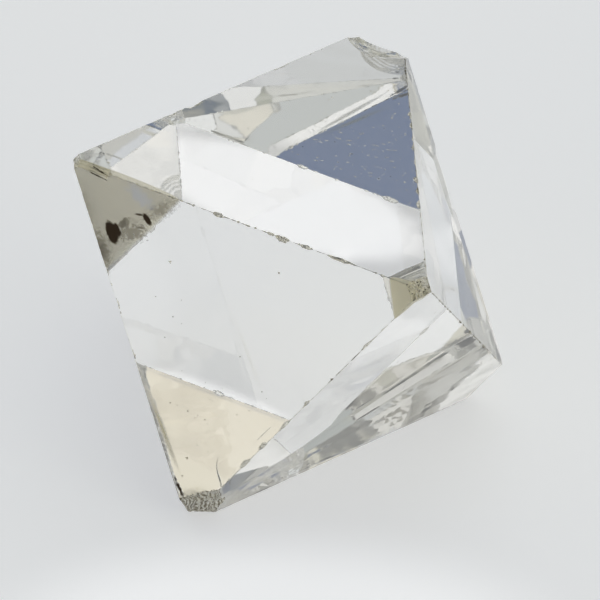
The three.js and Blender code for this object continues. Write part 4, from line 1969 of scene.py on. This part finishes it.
@dataclass(frozen=True)
class OpalSheet:
    """Opal acrylic, lit from below: a pale ground that glows a little, so shadows stay soft.

    It glows more in pools of light painted into its glow, under and behind the stone, which light it up
    from beneath and behind, and on the floor before it.

    Attributes:
        colour: its colour by reflected light.
        glow: the colour of its glow.
        glow_strength: how much it glows away from the painted pools of light.
        light_pools: the pools of light painted into its glow.
        roughness: how matt it is, which keeps it from mirroring the stone.
    """

    colour: int = 0xE9E9E9
    glow: int = 0xB6B6B7
    glow_strength: float = 0.9
    light_pools: tuple[PaintedLightPool, ...] = (
        PaintedLightPool((-0.1, 1.45), (3.8, 1.5), 1.35, 0.78, -30.0),
        PaintedLightPool((-0.5, -2.75), (2.0, 0.6), 1.6, 0.7, 37.0),
        PaintedLightPool((-2.3, 11.25), (3.3, 0.7), 1.25, 0.45, 23.0),
        PaintedLightPool((-2.4, 7.4), (1.2, 2.2), 1.9, 0.08),
        PaintedLightPool((-3.7, 5.3), (0.9, 1.6), 1.7, 0.25),
        PaintedLightPool((-1.0, -11.3), (5.5, 3.3), 1.9, 0.3),
        PaintedLightPool((-8.0, -17.0), (4.0, 4.0), 1.6, 0.3),
        PaintedLightPool((-16.0, -7.0), (3.6, 6.0), 1.6, 0.3),
    )
    roughness: float = 0.9

    def material(self) -> bpy.types.Material:
        """Builds the material.

        Returns:
            The material.
        """
        material = bpy.data.materials.new("opal_sheet")
        material.use_nodes = True
        tree = material.node_tree
        inputs = tree.nodes["Principled BSDF"].inputs
        inputs["Base Color"].default_value = (*linear(self.colour), 1)
        inputs["Roughness"].default_value = self.roughness
        inputs["Specular IOR Level"].default_value = 0.0
        inputs["Emission Color"].default_value = (*linear(self.glow), 1)
        place = add_node(tree, "ShaderNodeTexCoord").outputs["Object"]
        glow = add_node(tree, "ShaderNodeValue").outputs[0]
        glow.default_value = self.glow_strength
        # Each pool is painted light: the sheet's glow is raised in a soft oval.
        for pool in self.light_pools:
            local = add_node(
                tree, "ShaderNodeMapping",
                {"vector_type": "TEXTURE", "Location": (pool.at[0] * MM, pool.at[1] * MM, 0),
                 "Rotation": (0, 0, math.radians(pool.turn)),
                 "Scale": (pool.half[0] * MM, pool.half[1] * MM, 1)},
                {"Vector": place},
            ).outputs[0]
            away = add_node(
                tree, "ShaderNodeVectorMath", {"operation": "LENGTH"}, {0: local},
            ).outputs["Value"]
            more = add_node(
                tree, "ShaderNodeMapRange",
                {"interpolation_type": "SMOOTHSTEP", "From Min": 1.0, "From Max": pool.fade,
                 "To Min": pool.gain, "To Max": 0.0},
                {"Value": away},
            ).outputs["Result"]
            glow = add_node(tree, "ShaderNodeMath", {"operation": "ADD"}, {0: glow, 1: more}).outputs[0]
        tree.links.new(glow, inputs["Emission Strength"])
        return material


# ------------------------------------------------------------------------------------- the studio


@dataclass(frozen=True)
class SoftPatch:
    """A soft-edged patch of the studio's surroundings.

    Attributes:
        azimuth: its way in plan, degrees clockwise from straight away from the camera.
        elevation: its height above the floor, degrees.
        spread: how far it reaches from its middle, degrees.
        blur: over how many degrees more it fades.
        colour: its colour.
    """

    azimuth: float
    elevation: float
    spread: float
    blur: float
    colour: int


@dataclass
class Studio:
    """A plain pale floor, soft light from all round, and the camera.

    Attributes:
        centre: the crystal's centre in the part's frame, mm.
        floor_side: the floor's width, m.
        floor_gap: how far below the stone the floor lies, so that the two don't touch, m.
        ambient: the colour of the light from all round.
        camera_azimuth: the camera's way in plan from the frame's front, degrees.
        toward: the way from the stone to the camera.
        up: the way that is up in its view.
        distance_mm: how far it stands from the stone's centre, mm.
        shift_mm: how far it stands to the right and up from there, mm.
        frame_side_mm: how wide its view is at the stone, mm.
        clip: the nearest and farthest that it sees, m.
        light_bounces: how often light is followed through the stone, which mirrors it within many times.
    """

    centre: Points
    floor_side: float = 6.0
    floor_gap: float = 0.00002
    ambient: int = 0xABAEA3
    camera_azimuth: float = -5.58
    toward: tuple[float, float, float] = (-0.06929, -0.70956, 0.70123)
    up: tuple[float, float, float] = (0.02020, 0.70178, 0.71211)
    distance_mm: float = 414.0
    shift_mm: tuple[float, float] = (0.26, -0.98)
    frame_side_mm: float = 18.34176
    clip: tuple[float, float] = (0.01, 10.0)
    light_bounces: int = 32

    PATCHES = (
        SoftPatch(0, 46, 22, 12, 0xD3D8DB),
        SoftPatch(30, 14, 18, 10, 0xC2C6C0),
        SoftPatch(85, 20, 14, 8, 0xCACCCE),
        SoftPatch(112, 27, 12, 6, 0xF4F4F2),
        SoftPatch(120, 5, 10, 5, 0xBCC0C0),
        SoftPatch(150, 12, 13, 8, 0xCCCABF),
        SoftPatch(180, 12, 14, 8, 0xD0CEBA),
        SoftPatch(180, 34, 14, 8, 0x2A2E20),
        SoftPatch(-72, 15, 13, 6, 0x545E68),
        SoftPatch(-55, 24, 7, 6, 0xB8C0C8),
        SoftPatch(-105, 15, 12, 6, 0x9CA3A4),
        SoftPatch(-138, 26, 17, 5, 0xEDE5CF),
        SoftPatch(-122, 60, 26, 8, 0x1C4074),
    )

    def build(self) -> None:
        """Makes the floor, the surroundings and the camera, and sets how light is followed."""
        self._floor()
        self._world()
        self._camera()
        scene = bpy.context.scene
        scene.view_settings.view_transform = "Standard"
        scene.cycles.max_bounces = self.light_bounces
        scene.cycles.transmission_bounces = self.light_bounces
        scene.cycles.glossy_bounces = self.light_bounces

    def _floor(self) -> None:
        """A wide pale sheet just under the stone."""
        half = self.floor_side / 2
        mesh = bpy.data.meshes.new("floor")
        corners = [(-half, -half), (half, -half), (half, half), (-half, half)]
        mesh.from_pydata([(x, y, -self.floor_gap) for x, y in corners], [], [(0, 1, 2, 3)])
        floor = bpy.data.objects.new("floor", mesh)
        bpy.context.scene.collection.objects.link(floor)
        floor.data.materials.append(OpalSheet().material())
        floor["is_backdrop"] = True

    def _world(self) -> None:
        """The surroundings: an even pale light with soft patches laid over it in order."""
        world = bpy.data.worlds.new("studio")
        bpy.context.scene.world = world
        world.use_nodes = True
        tree = world.node_tree
        tree.nodes.clear()
        way = add_node(tree, "ShaderNodeTexCoord").outputs["Generated"]
        mixed = add_node(tree, "ShaderNodeRGB").outputs[0]
        mixed.default_value = (*linear(self.ambient), 1)
        for patch in self.PATCHES:
            turn = math.radians(90 - patch.azimuth + self.camera_azimuth)
            rise = math.radians(patch.elevation)
            towards = (math.cos(rise) * math.cos(turn), math.cos(rise) * math.sin(turn), math.sin(rise))
            facing = add_node(
                tree, "ShaderNodeVectorMath", {"operation": "DOT_PRODUCT", 1: towards}, {0: way},
            ).outputs["Value"]
            share = add_node(
                tree, "ShaderNodeMapRange",
                {
                    "interpolation_type": "SMOOTHSTEP",
                    "From Min": math.cos(math.radians(patch.spread + patch.blur)),
                    "From Max": math.cos(math.radians(patch.spread)),
                },
                {"Value": facing},
            ).outputs["Result"]
            settings = {"data_type": "RGBA", 7: (*linear(patch.colour), 1)}
            mixed = add_node(tree, "ShaderNodeMix", settings, {0: share, 6: mixed}).outputs[2]
        light = add_node(tree, "ShaderNodeBackground", {}, {"Color": mixed}).outputs[0]
        add_node(tree, "ShaderNodeOutputWorld", {}, {"Surface": light})

    def _camera(self) -> None:
        """The camera, far off with a long lens, looking down on the stone."""
        toward, up = unit(self.toward), unit(self.up)
        right = np.cross(up, toward)
        place = self.centre + self.distance_mm * toward + self.shift_mm[0] * right + self.shift_mm[1] * up
        data = bpy.data.cameras.new("camera")
        data.sensor_width = SENSOR_WIDTH_MM
        data.lens = SENSOR_WIDTH_MM * self.distance_mm / self.frame_side_mm
        data.clip_start, data.clip_end = self.clip
        camera = bpy.data.objects.new("camera", data)
        camera.matrix_world = Matrix(np.column_stack([
            np.vstack([np.column_stack([right, np.cross(toward, right), toward]), np.zeros(3)]),
            [*(place * MM), 1],
        ]).tolist())
        bpy.context.scene.collection.objects.link(camera)
        bpy.context.scene.camera = camera


# ------------------------------------------------------------------------------------------- main


def write_sizes() -> None:
    """Works out the solid's box and the dressed stone's box, in metres."""
    boxes = {"solid": SOLID_BOX, "dressed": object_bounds()}
    plain = {name: [list(corner) for corner in box] for name, box in boxes.items()}


def main() -> None:
    """Builds the stone and the studio."""
    logging.basicConfig(level=logging.INFO, format="%(name)s: %(message)s", force=True)
    stone = Stone()
    piece = stone.build()
    piece.data.materials.append(ClearDiamond().material(stone.lattice.centre_in_frame()))
    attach(piece, BODY)
    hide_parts(NODE)
    log.info("%s: %d polygons", piece.name, len(piece.data.polygons))
    Studio(stone.lattice.centre_in_frame()).build()
    write_sizes()


if __name__ == "__main__":
    main()
